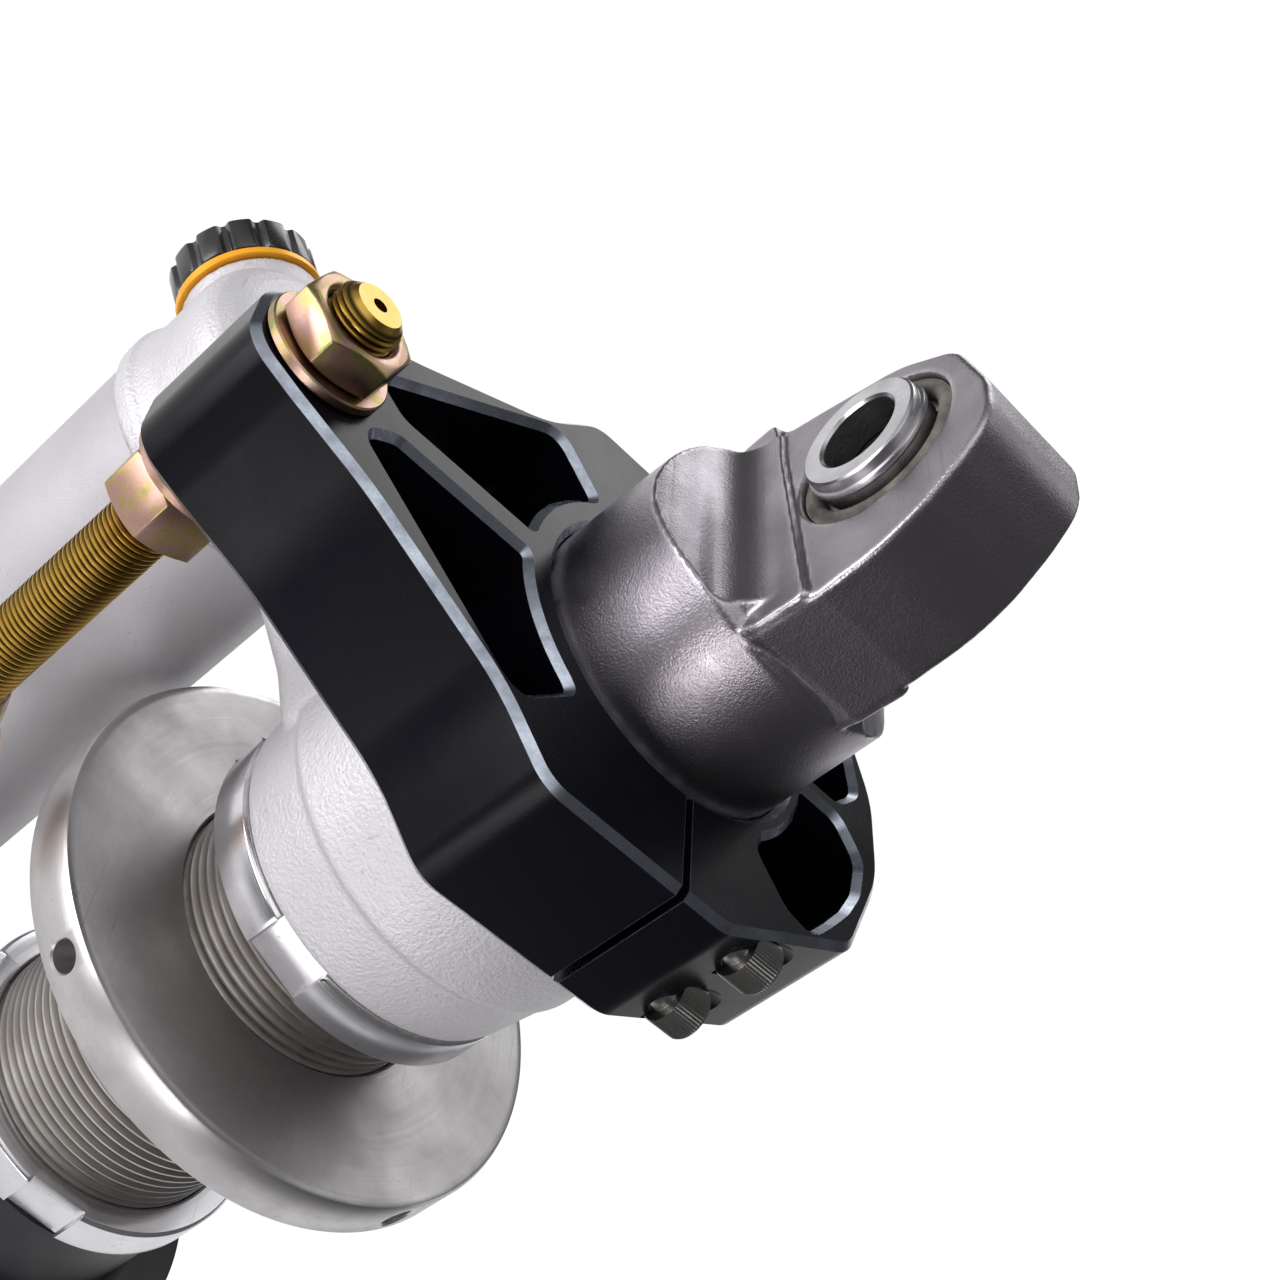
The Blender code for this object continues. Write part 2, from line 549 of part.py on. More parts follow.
# ---------------------------------------------------------------------- clamp
def clamp():
    """Split clamp on the barrel: an arm half with the rod hole and a cap half."""
    middle = (CLAMP_TOP + CLAMP_BOTTOM) / 2
    frame = Matrix.Translation((0, 0, middle))
    arm_edge = SPLIT_X - SPLIT_GAP / 2
    cap_edge = SPLIT_X + SPLIT_GAP / 2
    arm_half = [(-ARM_REACH, ARM_END_HALF, 0.0095), (-ARM_REACH + 0.0105, ARM_END_HALF + 0.0052, 0.030), (-ARM_NECK_X, ARM_NECK_HALF, 0.060),
                (-ARM_WAIST_X, ARM_WAIST_HALF, 0.040), (-ARM_WAIST_X + 0.0120, CLAMP_HALF, 0.009), (arm_edge, CLAMP_HALF, 0.0)]
    cap_half = [(cap_edge, CLAMP_HALF, 0.0), (cap_edge + 0.0098, CLAMP_HALF, 0.008), (CAP_FLANK_X, CAP_FLANK_HALF, 0.010), (CAP_REACH, CAP_NOSE_HALF, 0.030)]
    seat = disc("clamp_seat", SEAT_BORE_R, CLAMP_TOP + 0.01, CLAMP_BOTTOM - 0.01, segments=LARGE_SEGMENTS)
    arm = plate("clamp_arm", rounded(mirrored(arm_half)), CLAMP_T, "black_anodised", chamfer=CLAMP_CHAMFER, frame=frame)
    cap = plate("clamp_cap", rounded(mirrored(cap_half)), CLAMP_T, "black_anodised", chamfer=CLAMP_CHAMFER, frame=frame)
    ring_r = SEAT_BORE_R + BORE_WALL
    arm_pocket = rounded([(-ring_r * 0.995, WEB_HALF, 0.002), (-ARM_POCKET_REACH + 0.0062, WEB_HALF, 0.0042), (-ARM_POCKET_REACH, ARM_POCKET_HALF, 0.0028),
                          (-ring_r * 0.916, ring_r * 1.079, 0.0042), (-ring_r * 0.640, ring_r * 0.786, 0.0024)] + arc(ring_r, 131, 174, 4)[1:-1])
    cap_r = SEAT_BORE_R + CAP_WALL
    cap_pocket = rounded([(cap_r * 0.995, CAP_WEB_HALF, 0.004), (CAP_POCKET_REACH - 0.0056, CAP_WEB_HALF, 0.005), (CAP_POCKET_REACH, CAP_WEB_HALF + 0.0070, 0.006)]
                         + [(x, y, 0.012) for x, y, _ in arc(CAP_POCKET_R, 22, 39, 2)]
                         + [(CAP_POCKET_R * 0.682, CAP_POCKET_R * 0.752, 0.0035), (cap_r * 0.855, cap_r * 1.087, 0.004), (cap_r * 0.643, cap_r * 0.855, 0.003)]
                         + arc(cap_r, 48, 6, 4)[1:-1])
    depth = CLAMP_T - POCKET_FLOOR
    for target, pocket, word in ((arm, arm_pocket, "arm"), (cap, cap_pocket, "cap")):
        fuse(target, seat)
        for sign in (1, -1):
            outline = [Vector((x, sign * y)) for x, y in pocket]
            area = sum(a.x * b.y - b.x * a.y for a, b in zip(outline, outline[1:] + outline[:1]))
            if area < 0:
                outline.reverse()
            # The rim chamfer runs out 1 mm above the face.
            over = CLAMP_CHAMFER + 0.001
            fuse(target, lofted(f"{word}_pocket_{sign}", [
                (outline, CLAMP_TOP - depth), (outline, CLAMP_TOP - CLAMP_CHAMFER), (grown(outline, over), CLAMP_TOP + 0.001)]))
    fuse(arm, disc("rod_hole", ROD_R + GAP, CLAMP_TOP + 0.01, CLAMP_BOTTOM - 0.01, place=(-ROD_X, 0, 0), segments=24))
    number = 0
    for side in (1, -1):
        for level in (0.5, -0.5):
            number += 1
            z = middle + level * SCREW_PITCH
            y = side * SCREW_Y
            hole = disc(f"screw_hole_{number}", SCREW_R + GAP, SCREW_SEAT_X + 0.001, SCREW_SEAT_X - SCREW_LENGTH - GAP, axis="X", place=(0, y, z), segments=12)
            bore = disc(f"screw_bore_{number}", SCREW_HEAD_R + SCREW_HEAD_ROOM, SCREW_SEAT_X + 0.05, SCREW_SEAT_X, axis="X", place=(0, y, z), segments=20)
            fuse(arm, hole)
            fuse(cap, hole)
            fuse(cap, bore)
            base = SCREW_SEAT_X + GAP
            screw = turned(f"clamp_screw_{number}", [
                (0.0, base + SCREW_HEAD_H), (SCREW_HEAD_R - 0.0007, base + SCREW_HEAD_H), (SCREW_HEAD_R, base + SCREW_HEAD_H - 0.0007),
                (SCREW_HEAD_R, base), (SCREW_R, base), (SCREW_R, SCREW_SEAT_X - SCREW_LENGTH), (0.0, SCREW_SEAT_X - SCREW_LENGTH)],
                "dark_steel", axis="X", place=(0, y, z), segments=14)
            socket = disc(f"socket_{number}", 0.0029, base + SCREW_HEAD_H + 0.001, base + SCREW_HEAD_H * 0.45, axis="X", place=(0, y, z), segments=6)
            fuse(screw, socket)


# ------------------------------------------------------------------- link rod
def link_rod():
    """Threaded rod end held in the arm by two nuts and two washers."""
    x = -ROD_X
    top = CLAMP_TOP + ROD_ABOVE
    low = CLAMP_TOP - ROD_BELOW
    neck = ROD_Z + ROD_HEAD_R * 0.75
    rod = turned("rod_end", [
        (0.0, top), (ROD_R - 0.0018, top), (ROD_R, top - 0.0018), (ROD_R, low), (ROD_NECK_R - 0.0016, low - 0.0035),
        (ROD_NECK_R, low - 0.0080), (ROD_NECK_R + 0.0010, neck - 0.004), (ROD_NECK_R, neck - 0.010), (0.0, neck - 0.010)], "zinc", place=(x, 0, 0), segments=24)
    fuse(rod, disc("rod_centre_drill", 0.0014, top + 0.002, top - 0.0030, place=(x, 0, 0), segments=8))
    eye = disc("rod_head", ROD_HEAD_R, ROD_HEAD_HALF, -ROD_HEAD_HALF, axis="Y", place=(x, 0, ROD_Z), edge=0.0012, segments=24)
    fuse(rod, eye, "UNION")
    cavity = [(0.0, 0.02), (0.0090, 0.02)] + [(r, h) for r, h in ball_arc(ROD_BALL_R + BALL_GAP, ROD_HEAD_HALF - 0.0006)] + [(0.0090, -0.02), (0.0, -0.02)]
    fuse(rod, turned("rod_cavity", cavity, axis="Y", place=(x, 0, ROD_Z), segments=BEARING_SEGMENTS))
    turned("rod_ball", ball_arc(ROD_BALL_R, ROD_BALL_HALF) + [(ROD_R, -ROD_BALL_HALF), (ROD_R, ROD_BALL_HALF)],
           "chrome", axis="Y", place=(x, 0, ROD_Z), segments=BEARING_SEGMENTS)
    ring("rod_washer", WASHER_R, ROD_R + GAP, CLAMP_TOP + GAP + WASHER_T, CLAMP_TOP + GAP, "steel", edge=0.0003, place=(x, 0, 0), segments=18)
    foot = CLAMP_TOP + WASHER_T + 2 * GAP
    nut("rod_nut_top", NUT_AF, ROD_R + GAP, foot + TOP_NUT_H, foot, "zinc", x=x, turn=math.radians(12))
    under = CLAMP_BOTTOM - GAP
    ring("rod_washer_low", WASHER_R, ROD_R + GAP, under, under - WASHER_T, "steel", edge=0.0003, place=(x, 0, 0), segments=18)
    seat = under - WASHER_T - GAP
    nut("rod_nut_bottom", NUT_AF, ROD_R + GAP, seat, seat - LOW_NUT_H, "zinc", x=x, turn=math.radians(20))


# -------------------------------------------------------------------- housing
def housing():
    """Cast head housing with the bridge to the reservoir head."""
    seam = HOUSING_TOP - HOUSING_STEP
    body = turned("head_housing", [
        (0.0, HOUSING_TOP), (HOUSING_R - 0.0020, HOUSING_TOP), (HOUSING_R - 0.0006, HOUSING_TOP - 0.0006), (HOUSING_R, HOUSING_TOP - 0.0022),
        (HOUSING_R, seam + 0.0010), (HOUSING_R - 0.0010, seam), (HOUSING_R - 0.0012, seam - 0.0030),
        (HOUSING_FOOT_R + 0.0006, HOUSING_BOTTOM + 0.0060), (HOUSING_FOOT_R, HOUSING_BOTTOM + 0.0010), (HOUSING_FOOT_R - 0.0010, HOUSING_BOTTOM),
        (0.0, HOUSING_BOTTOM)],
        "cast_silver", segments=LARGE_SEGMENTS)
    head_top = SEAM_Z + RES_HEAD_H
    spigot_r = RES_BORE_R - GAP
    head = turned("reservoir_head", [
        (0.0, head_top), (RES_NECK_R - 0.0110, head_top), (RES_NECK_R - 0.0050, head_top - 0.0012), (RES_NECK_R - 0.0012, head_top - 0.0042), (RES_NECK_R, head_top - 0.0085),
        (RES_NECK_R, SEAM_Z + 0.0100), (RES_HEAD_R - 0.0010, SEAM_Z + 0.0062), (RES_HEAD_R, SEAM_Z + 0.0045), (RES_HEAD_R, SEAM_Z + 0.0006), (RES_HEAD_R - 0.0006, SEAM_Z),
        (spigot_r, SEAM_Z), (spigot_r, SEAM_Z - RES_SPIGOT), (0.0, SEAM_Z - RES_SPIGOT)], place=(RES_X, RES_Y, 0), segments=28)
    # The bridge is waisted between the two heads.
    frame = Matrix.Translation((0, 0, HOUSING_TOP - BRIDGE_DROP)) @ Matrix.Rotation(RES_AZIMUTH, 4, "Z")
    web = [(0.0, HOUSING_R - 0.0100, 0.0), (HOUSING_R * 0.730, HOUSING_R * 0.704, 0.010), (HOUSING_R + 0.0009, BRIDGE_HALF + 0.0054, 0.020),
           (RES_REACH * 0.570, BRIDGE_HALF + 0.0022, 0.030), (RES_REACH * 0.683, BRIDGE_HALF, 0.015), (RES_REACH * 0.806, BRIDGE_HALF + 0.0007, 0.010),
           (RES_REACH, RES_NECK_R - 0.0048, 0.0)]
    bridge = plate("bridge", rounded(mirrored(web), 3), BRIDGE_T, chamfer=0.0045, steps=1, frame=frame)
    fuse(body, bridge, "UNION")
    fuse(body, head, "UNION")
    fuse(body, turned("housing_bore", [
        (0.0, HOUSING_TOP + 0.01), (SPIGOT_R + GAP, HOUSING_TOP + 0.01), (SPIGOT_R + GAP, BODY_TOP + GAP), (SEAT_BORE_R, BODY_TOP + GAP),
        (SEAT_BORE_R, HOUSING_BOTTOM - 0.01), (0.0, HOUSING_BOTTOM - 0.01)], segments=LARGE_SEGMENTS))
    knob_z = HOUSING_TOP - KNOB_DROP
    turn = Matrix.Translation((RES_X, RES_Y, knob_z)) @ Matrix.Rotation(KNOB_AZIMUTH, 4, "Z") @ Matrix.Rotation(math.pi / 2, 4, "Y")
    boss = disc("knob_boss", KNOB_BOSS_R, KNOB_BOSS_REACH, 0.010, edge=0.0005, segments=24)
    boss.matrix_world = turn
    fuse(body, boss, "UNION")
    dial_in = KNOB_BOSS_REACH + GAP
    dial = disc("adjuster_dial", DIAL_R, dial_in + DIAL_T, dial_in, "orange", segments=24)
    dial.matrix_world = turn
    knob_in = dial_in + DIAL_T + GAP
    knob = turned("adjuster_knob", [
        (0.0, knob_in + KNOB_T - 0.0012), (KNOB_R * 0.62, knob_in + KNOB_T - 0.0012), (KNOB_R * 0.70, knob_in + KNOB_T), (KNOB_R - 0.0012, knob_in + KNOB_T),
        (KNOB_R, knob_in + KNOB_T - 0.0012), (KNOB_R, knob_in + 0.0008), (KNOB_R - 0.0008, knob_in), (0.0, knob_in)], "gloss_black", segments=26)
    knob.matrix_world = turn
    for index in range(KNOB_LOBES):
        angle = index * 2 * math.pi / KNOB_LOBES
        reach = KNOB_R + 0.0012
        tool = disc(f"knob_scallop_{index}", 0.0022, knob_in + KNOB_T + 0.01, knob_in - 0.01, segments=8)
        tool.matrix_world = turn @ Matrix.Translation((reach * math.cos(angle), reach * math.sin(angle), 0))
        fuse(knob, tool)


# ------------------------------------------------------------------ reservoir
def reservoir():
    """Remote tube with its separator piston, end cap and filling valve."""
    place = (RES_X, RES_Y, 0)
    ring("reservoir_tube", RES_R, RES_BORE_R, RES_TOP, RES_BOTTOM, "cast_silver", place=place, segments=28)
    top = RES_TOP - FLOAT_DROP
    r = RES_BORE_R - GAP
    turned("separator_piston", [
        (0.0, top - 0.0060), (r - 0.0065, top - 0.0060), (r - 0.0045, top), (r, top), (r, top - FLOAT_T * 0.35), (r - 0.0015, top - FLOAT_T * 0.35),
        (r - 0.0015, top - FLOAT_T * 0.55), (r, top - FLOAT_T * 0.55), (r, top - FLOAT_T), (0.0, top - FLOAT_T)], "brushed", place=place, segments=20)
    turned("separator_seal", [(r, top - FLOAT_T * 0.35 - 0.0002), (r, top - FLOAT_T * 0.55 + 0.0002), (r - 0.0012, top - FLOAT_T * 0.55 + 0.0002),
                              (r - 0.0012, top - FLOAT_T * 0.35 - 0.0002)], "rubber", place=place, segments=20)
    cap = RES_BOTTOM - GAP
    turned("reservoir_cap", [
        (0.0, RES_BOTTOM + 0.0100), (r, RES_BOTTOM + 0.0100), (r, cap), (RES_R, cap), (RES_R, cap - END_CAP_H * 0.45), (RES_R - 0.0030, cap - END_CAP_H * 0.75),
        (RES_R - 0.0110, cap - END_CAP_H), (0.0085, cap - END_CAP_H), (0.0085, cap - END_CAP_H * 0.6), (0.0, cap - END_CAP_H * 0.6)], "black_anodised", place=place, segments=SEGMENTS)
    stem = cap - END_CAP_H * 0.6 - GAP
    turned("fill_valve", [(0.0, stem), (0.0055, stem), (0.0055, stem - 0.0040), (0.0039, stem - 0.0046), (0.0039, stem - 0.0120), (0.0, stem - 0.0120)],
           "zinc", place=place, segments=12)
    lid = stem - 0.0046 - GAP
    cover = turned("valve_cap", [(0.0, lid), (0.0050, lid), (0.0055, lid - 0.0010), (0.0055, lid - 0.0085), (0.0046, lid - 0.0100), (0.0, lid - 0.0100)],
                   "gloss_black", place=place, segments=14)
    fuse(cover, disc("valve_cap_bore", 0.0039 + GAP, lid + 0.01, stem - 0.0120 - GAP, place=place, segments=12))


# ---------------------------------------------------------- body and its rings
def body():
    """Threaded body tube with the rings that run on it."""
    ring("body_tube", BODY_R, BODY_BORE_R, BODY_TOP, -BODY_BOTTOM, "brushed", segments=LARGE_SEGMENTS)
    lock = ring("lock_ring", RING_R, SEAT_BORE_R, LOCK_TOP, LOCK_TOP - LOCK_RING_H, "polished", edge=0.0007, segments=LARGE_SEGMENTS)
    slots(lock, RING_R, RING_SLOT_DEPTH, RING_SLOTS, RING_SLOT_ANGLE, RING_SLOT_START, LOCK_TOP, LOCK_TOP - LOCK_RING_H, "lock_slot")
    low = FLANGE_TOP - FLANGE_T
    flange = turned("preload_flange", [
        (SEAT_BORE_R + 0.0100, FLANGE_TOP - 0.0012), (FLANGE_R - 0.0012, FLANGE_TOP),
        (FLANGE_R, FLANGE_TOP - 0.0012), (FLANGE_R, low + 0.0012), (FLANGE_R - 0.0012, low),
        (SEAT_BORE_R + 0.0120, low), (SEAT_BORE_R + 0.0100, low - 0.0030), (SEAT_BORE_R, low - 0.0030), (SEAT_BORE_R, FLANGE_TOP - 0.0018)], "brushed", segments=40)
    for index in range(FLANGE_PINS):
        angle = FLANGE_PIN_START + index * 2 * math.pi / FLANGE_PINS
        tool = disc(f"flange_pin_{index}", FLANGE_PIN_R, FLANGE_R + 0.01, FLANGE_R - 0.0100, segments=16)
        tool.matrix_world = Matrix.Translation((0, 0, FLANGE_TOP - FLANGE_T / 2)) @ Matrix.Rotation(angle, 4, "Z") @ Matrix.Rotation(math.pi / 2, 4, "Y")
        fuse(flange, tool)
    cross = ring("crossover_ring", RING_R, SEAT_BORE_R, CROSS_TOP, CROSS_TOP - CROSS_H, "polished", edge=0.0007, segments=LARGE_SEGMENTS)
    slots(cross, RING_R, RING_SLOT_DEPTH, RING_SLOTS, RING_SLOT_ANGLE, RING_SLOT_START + 0.35, CROSS_TOP, CROSS_TOP - CROSS_H, "cross_slot")


# ------------------------------------------------------------------ main spring
def main_spring():
    """Coil spring between the slider and the lower perch, with closed ends."""
    top = SLIDER_TOP - SLIDER_SLEEVE
    sleeve = SEAT_BORE_R + SLIDER_WALL
    pilot = COIL_R * math.cos(math.pi / COIL_POINTS) - WIRE_R - PILOT_ROOM
    seat = top - SEAT_T
    turned("spring_slider", [
        (sleeve - 0.0005, SLIDER_TOP), (sleeve, SLIDER_TOP - 0.0005), (sleeve, top + 0.0030), (sleeve + 0.0030, top), (SEAT_R - 0.0010, top), (SEAT_R, top - 0.0010), (SEAT_R, seat + 0.0006),
        (SEAT_R - 0.0006, seat), (pilot, seat), (pilot, seat - PILOT_L + 0.0010), (pilot - 0.0010, seat - PILOT_L), (SEAT_BORE_R, seat - PILOT_L), (SEAT_BORE_R, SLIDER_TOP)],
        "black_anodised", segments=LARGE_SEGMENTS)
    high = COIL_TOP - WIRE_R
    low = COIL_BOTTOM + WIRE_R
    steps = round(COIL_TURNS * COIL_POINTS)
    closed = 2 * WIRE_R + COIL_END_LIFT
    # The pitch rises smoothly from the closed ends to the free curls.
    def weight(turn):
        edge = min(turn, COIL_TURNS - turn)
        blend = min(max((edge - COIL_END_TURNS) / 0.6, 0.0), 1.0)
        return blend * blend * (3 - 2 * blend)
    samples = [weight((step + 0.5) * COIL_TURNS / steps) for step in range(steps)]
    spread = ((high - low) - closed * COIL_TURNS) / (sum(samples) * COIL_TURNS / steps)
    height = low
    points = []
    for step in range(steps + 1):
        angle = 2 * math.pi * step / COIL_POINTS
        points.append(Vector((COIL_R * math.cos(angle), COIL_R * math.sin(angle), height)))
        if step < steps:
            height += (closed + spread * samples[step]) * COIL_TURNS / steps
    curve = bpy.data.curves.new("main_spring", "CURVE")
    curve.dimensions = "3D"
    curve.bevel_depth = WIRE_R
    curve.bevel_resolution = 1
    curve.resolution_u = 1
    curve.render_resolution_u = 0
    curve.use_fill_caps = True
    spline = curve.splines.new("POLY")
    spline.points.add(len(points) - 1)
    for target, point in zip(spline.points, points):
        target.co = (*point, 1.0)
    obj = bpy.data.objects.new("main_spring", curve)
    to_mesh(obj, "spring_coat")
    least = min((points[b] - points[a]).length for a in range(len(points)) for b in range(a + COIL_POINTS // 2, len(points)))
    print(f"main_spring least gap to itself {1000 * (least - 2 * WIRE_R):.2f} mm, {COIL_TURNS} turns")
    rim = PERCH_TOP
    turned("spring_perch", [
        (pilot - 0.0010, rim + PILOT_L * 0.6), (pilot, rim + PILOT_L * 0.6 - 0.0010), (pilot, rim), (SEAT_R - 0.0006, rim), (SEAT_R, rim - 0.0006), (SEAT_R, rim - SEAT_T + 0.0020), (SEAT_R - 0.0020, rim - SEAT_T),
        (SHAFT_R + GAP, rim - SEAT_T), (SHAFT_R + GAP, rim - 0.0020), (pilot - 0.0060, rim - 0.0020), (pilot - 0.0045, rim + PILOT_L * 0.6)],
        "black_anodised")


# ------------------------------------------------------------- shaft assembly
def shaft_assembly():
    """Shaft with piston, bump stop and the lower eye, and the seal head round it."""
    foot = -BODY_BOTTOM + PISTON_LIFT
    piston_r = BODY_BORE_R - GAP
    head = foot + PISTON_T + SHIM_T + 2 * GAP
    stud_top = head + 0.0100
    socket = COLLAR_TOP - SHAFT_SOCKET
    turned("shaft", [(0.0, stud_top), (STUD_R, stud_top), (STUD_R, foot - GAP), (SHAFT_R, foot - GAP), (SHAFT_R, socket + GAP), (0.0, socket + GAP)], "chrome")
    turned("piston", [
        (piston_r - 0.0030, foot + PISTON_T), (piston_r - 0.0018, foot + PISTON_T - 0.0020), (piston_r, foot + PISTON_T - 0.0035), (piston_r, foot + 0.0035), (piston_r - 0.0018, foot + 0.0020), (piston_r - 0.0030, foot),
        (STUD_R + GAP, foot), (STUD_R + GAP, foot + PISTON_T)], "brushed")
    shim = foot + PISTON_T + GAP
    ring("piston_shims", 0.0170, STUD_R + GAP, shim + SHIM_T, shim, "steel", segments=18)
    nut("piston_nut", 0.0170, STUD_R + GAP, head + 0.0080, head, "zinc")
    lip = -BODY_BOTTOM - GAP
    turned("seal_head", [
        (piston_r - 0.0005, lip + SEAL_HEAD_H), (piston_r, lip + SEAL_HEAD_H - 0.0005), (piston_r, lip), (BODY_R, lip), (BODY_R, lip - SEAL_HEAD_LIP + 0.0010), (BODY_R - 0.0010, lip - SEAL_HEAD_LIP),
        (SHAFT_R + GAP, lip - SEAL_HEAD_LIP), (SHAFT_R + GAP, lip + SEAL_HEAD_H)], "black_anodised")
    wipe = lip - SEAL_HEAD_LIP - GAP
    turned("wiper_seal", [(0.0175, wipe), (0.0175, wipe - 0.0012), (SHAFT_R + 0.0016, wipe - WIPER_T), (SHAFT_R + GAP, wipe - WIPER_T), (SHAFT_R + GAP, wipe)], "rubber")
    # Foam bump stop with three bulges.
    base = PERCH_TOP - 0.0020 + GAP
    bulges = []
    for index in range(3):
        for part, swell in ((0.96, 0.76), (0.7, 0.98), (0.3, 0.98), (0.04, 0.76)):
            bulges.append((BUMP_R * swell * (1 - 0.06 * (2 - index)), base + BUMP_H * ((2 - index) + part) / 3))
    turned("bump_stop", [(BUMP_R * 0.66, base + BUMP_H)] + bulges + [(BUMP_R * 0.74, base), (SHAFT_R + GAP, base), (SHAFT_R + GAP, base + BUMP_H)], "bumper", segments=16)
    low = turned("lower_eye", [
        (0.0, COLLAR_TOP), (LOW_COLLAR_R - 0.0010, COLLAR_TOP), (LOW_COLLAR_R, COLLAR_TOP - 0.0010), (LOW_COLLAR_R, COLLAR_TOP - LOW_COLLAR_H), (LOW_COLLAR_R - 0.0040, COLLAR_TOP - LOW_COLLAR_H - 0.0040),
        (LOW_COLLAR_R - 0.0055, LOW_EYE_Z + EYE_BORE_R + 0.001), (0.0, LOW_EYE_Z + EYE_BORE_R + 0.001)], "gunmetal")
    lobe = [(LOW_EYE_R * math.sin(math.radians(a)), LOW_EYE_R * math.cos(math.radians(a)), 0.0) for a in range(44, 321, 24)]
    outline = rounded([(-LOW_COLLAR_R + 0.0025, COLLAR_TOP - LOW_COLLAR_H - LOW_EYE_Z, 0.0), (LOW_COLLAR_R - 0.0025, COLLAR_TOP - LOW_COLLAR_H - LOW_EYE_Z, 0.0)] + lobe, 3)
    fuse(low, plate("lower_eye_lobe", outline, 2 * LOW_PLATE_HALF, chamfer=0.0015, steps=1, frame=upright(z=LOW_EYE_Z)), "UNION")
    fuse(low, disc("lower_eye_bore", EYE_BORE_R, 0.05, -0.05, axis="X", place=(0, 0, LOW_EYE_Z), segments=BEARING_SEGMENTS))
    fuse(low, disc("shaft_socket", SHAFT_R + GAP, COLLAR_TOP + 0.01, socket, segments=SEGMENTS))
    eye_bearing("lower", LOW_EYE_Z, LOW_PLATE_HALF)


def settle():
    """Turn every modelled piece into its evaluated mesh, round surfaces smooth."""
    bpy.context.view_layer.update()
    graph = bpy.context.evaluated_depsgraph_get()
    shapes = {obj: bpy.data.meshes.new_from_object(obj.evaluated_get(graph)) for obj in parts.objects}
    for obj, mesh in shapes.items():
        material = obj.data.materials[0]
        obj.modifiers.clear()
        obj.data = mesh
        mesh.name = obj.name
        mesh.materials.clear()
        mesh.materials.append(material)
        mesh.shade_smooth()
        mesh.set_sharp_from_angle(angle=math.radians(28))


def main():
    for obj in list(bpy.data.objects):
        bpy.data.objects.remove(obj, do_unlink=True)
    bpy.context.scene.collection.children.link(parts)
    bpy.context.scene.collection.children.link(cutters)
    upper_head()
    clamp()
    link_rod()
    housing()
    reservoir()
    body()
    main_spring()
    shaft_assembly()
    settle()


if __name__ == "__main__":
    main()
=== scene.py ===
"""Dress of a coilover damper: clamp arm, link rod, reservoir head and eye bearings.

The frame is in metres, the shock axis is Z and the upper eye is the origin.
"""

import json
import logging
import math
from dataclasses import dataclass
from enum import Enum

import bpy
from mathutils import Matrix, Vector

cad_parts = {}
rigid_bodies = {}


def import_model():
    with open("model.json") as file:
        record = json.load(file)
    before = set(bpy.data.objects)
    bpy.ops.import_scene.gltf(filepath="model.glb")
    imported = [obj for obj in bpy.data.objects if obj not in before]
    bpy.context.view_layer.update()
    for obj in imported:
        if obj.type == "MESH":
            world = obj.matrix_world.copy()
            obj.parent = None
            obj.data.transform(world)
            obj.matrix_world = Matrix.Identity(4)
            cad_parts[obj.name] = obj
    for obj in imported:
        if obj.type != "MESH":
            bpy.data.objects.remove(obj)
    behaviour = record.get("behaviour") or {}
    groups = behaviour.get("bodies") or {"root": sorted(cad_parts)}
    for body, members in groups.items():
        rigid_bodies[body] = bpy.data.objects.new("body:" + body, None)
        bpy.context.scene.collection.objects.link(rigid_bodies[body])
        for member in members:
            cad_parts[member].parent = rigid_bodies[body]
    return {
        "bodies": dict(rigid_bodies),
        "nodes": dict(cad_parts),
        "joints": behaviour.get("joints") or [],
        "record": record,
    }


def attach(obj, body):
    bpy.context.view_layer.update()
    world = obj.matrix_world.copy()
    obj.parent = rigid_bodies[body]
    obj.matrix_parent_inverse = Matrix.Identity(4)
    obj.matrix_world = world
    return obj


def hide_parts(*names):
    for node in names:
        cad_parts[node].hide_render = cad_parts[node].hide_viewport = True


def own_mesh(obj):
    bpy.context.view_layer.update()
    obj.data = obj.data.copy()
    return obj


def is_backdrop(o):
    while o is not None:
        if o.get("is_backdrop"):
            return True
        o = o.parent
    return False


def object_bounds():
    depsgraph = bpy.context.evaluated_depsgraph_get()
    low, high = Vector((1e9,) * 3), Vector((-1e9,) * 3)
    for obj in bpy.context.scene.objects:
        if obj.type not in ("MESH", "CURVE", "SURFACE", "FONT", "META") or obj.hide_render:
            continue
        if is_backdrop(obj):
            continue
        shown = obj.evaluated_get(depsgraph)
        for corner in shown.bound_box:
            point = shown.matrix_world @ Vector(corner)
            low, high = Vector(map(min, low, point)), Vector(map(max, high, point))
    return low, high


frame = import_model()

Point = tuple[float, float, float]
Colour = tuple[float, float, float]
Profile = list[tuple[float, float]]
Piece = bpy.types.Object
Socket = bpy.types.NodeSocket
Sockets = bpy.types.bpy_prop_collection
Nodes = bpy.types.NodeTree

# Sizes that several sub-assemblies share, in metres, heights along Z.
LOW_EYE = -0.585
CLAMP_TOP = -0.0548
CLAMP_LOW = -0.0853
BODY_R = 0.03
BODY_SEAT_R = 0.0303
BODY_LOW = -0.356
EYE_PLATE_HALF = 0.01185
EYE_BORE_R = 0.0158
GAP = 0.0003
PAST = 0.01
QUARTER = math.pi / 2

log = logging.getLogger("coilover")


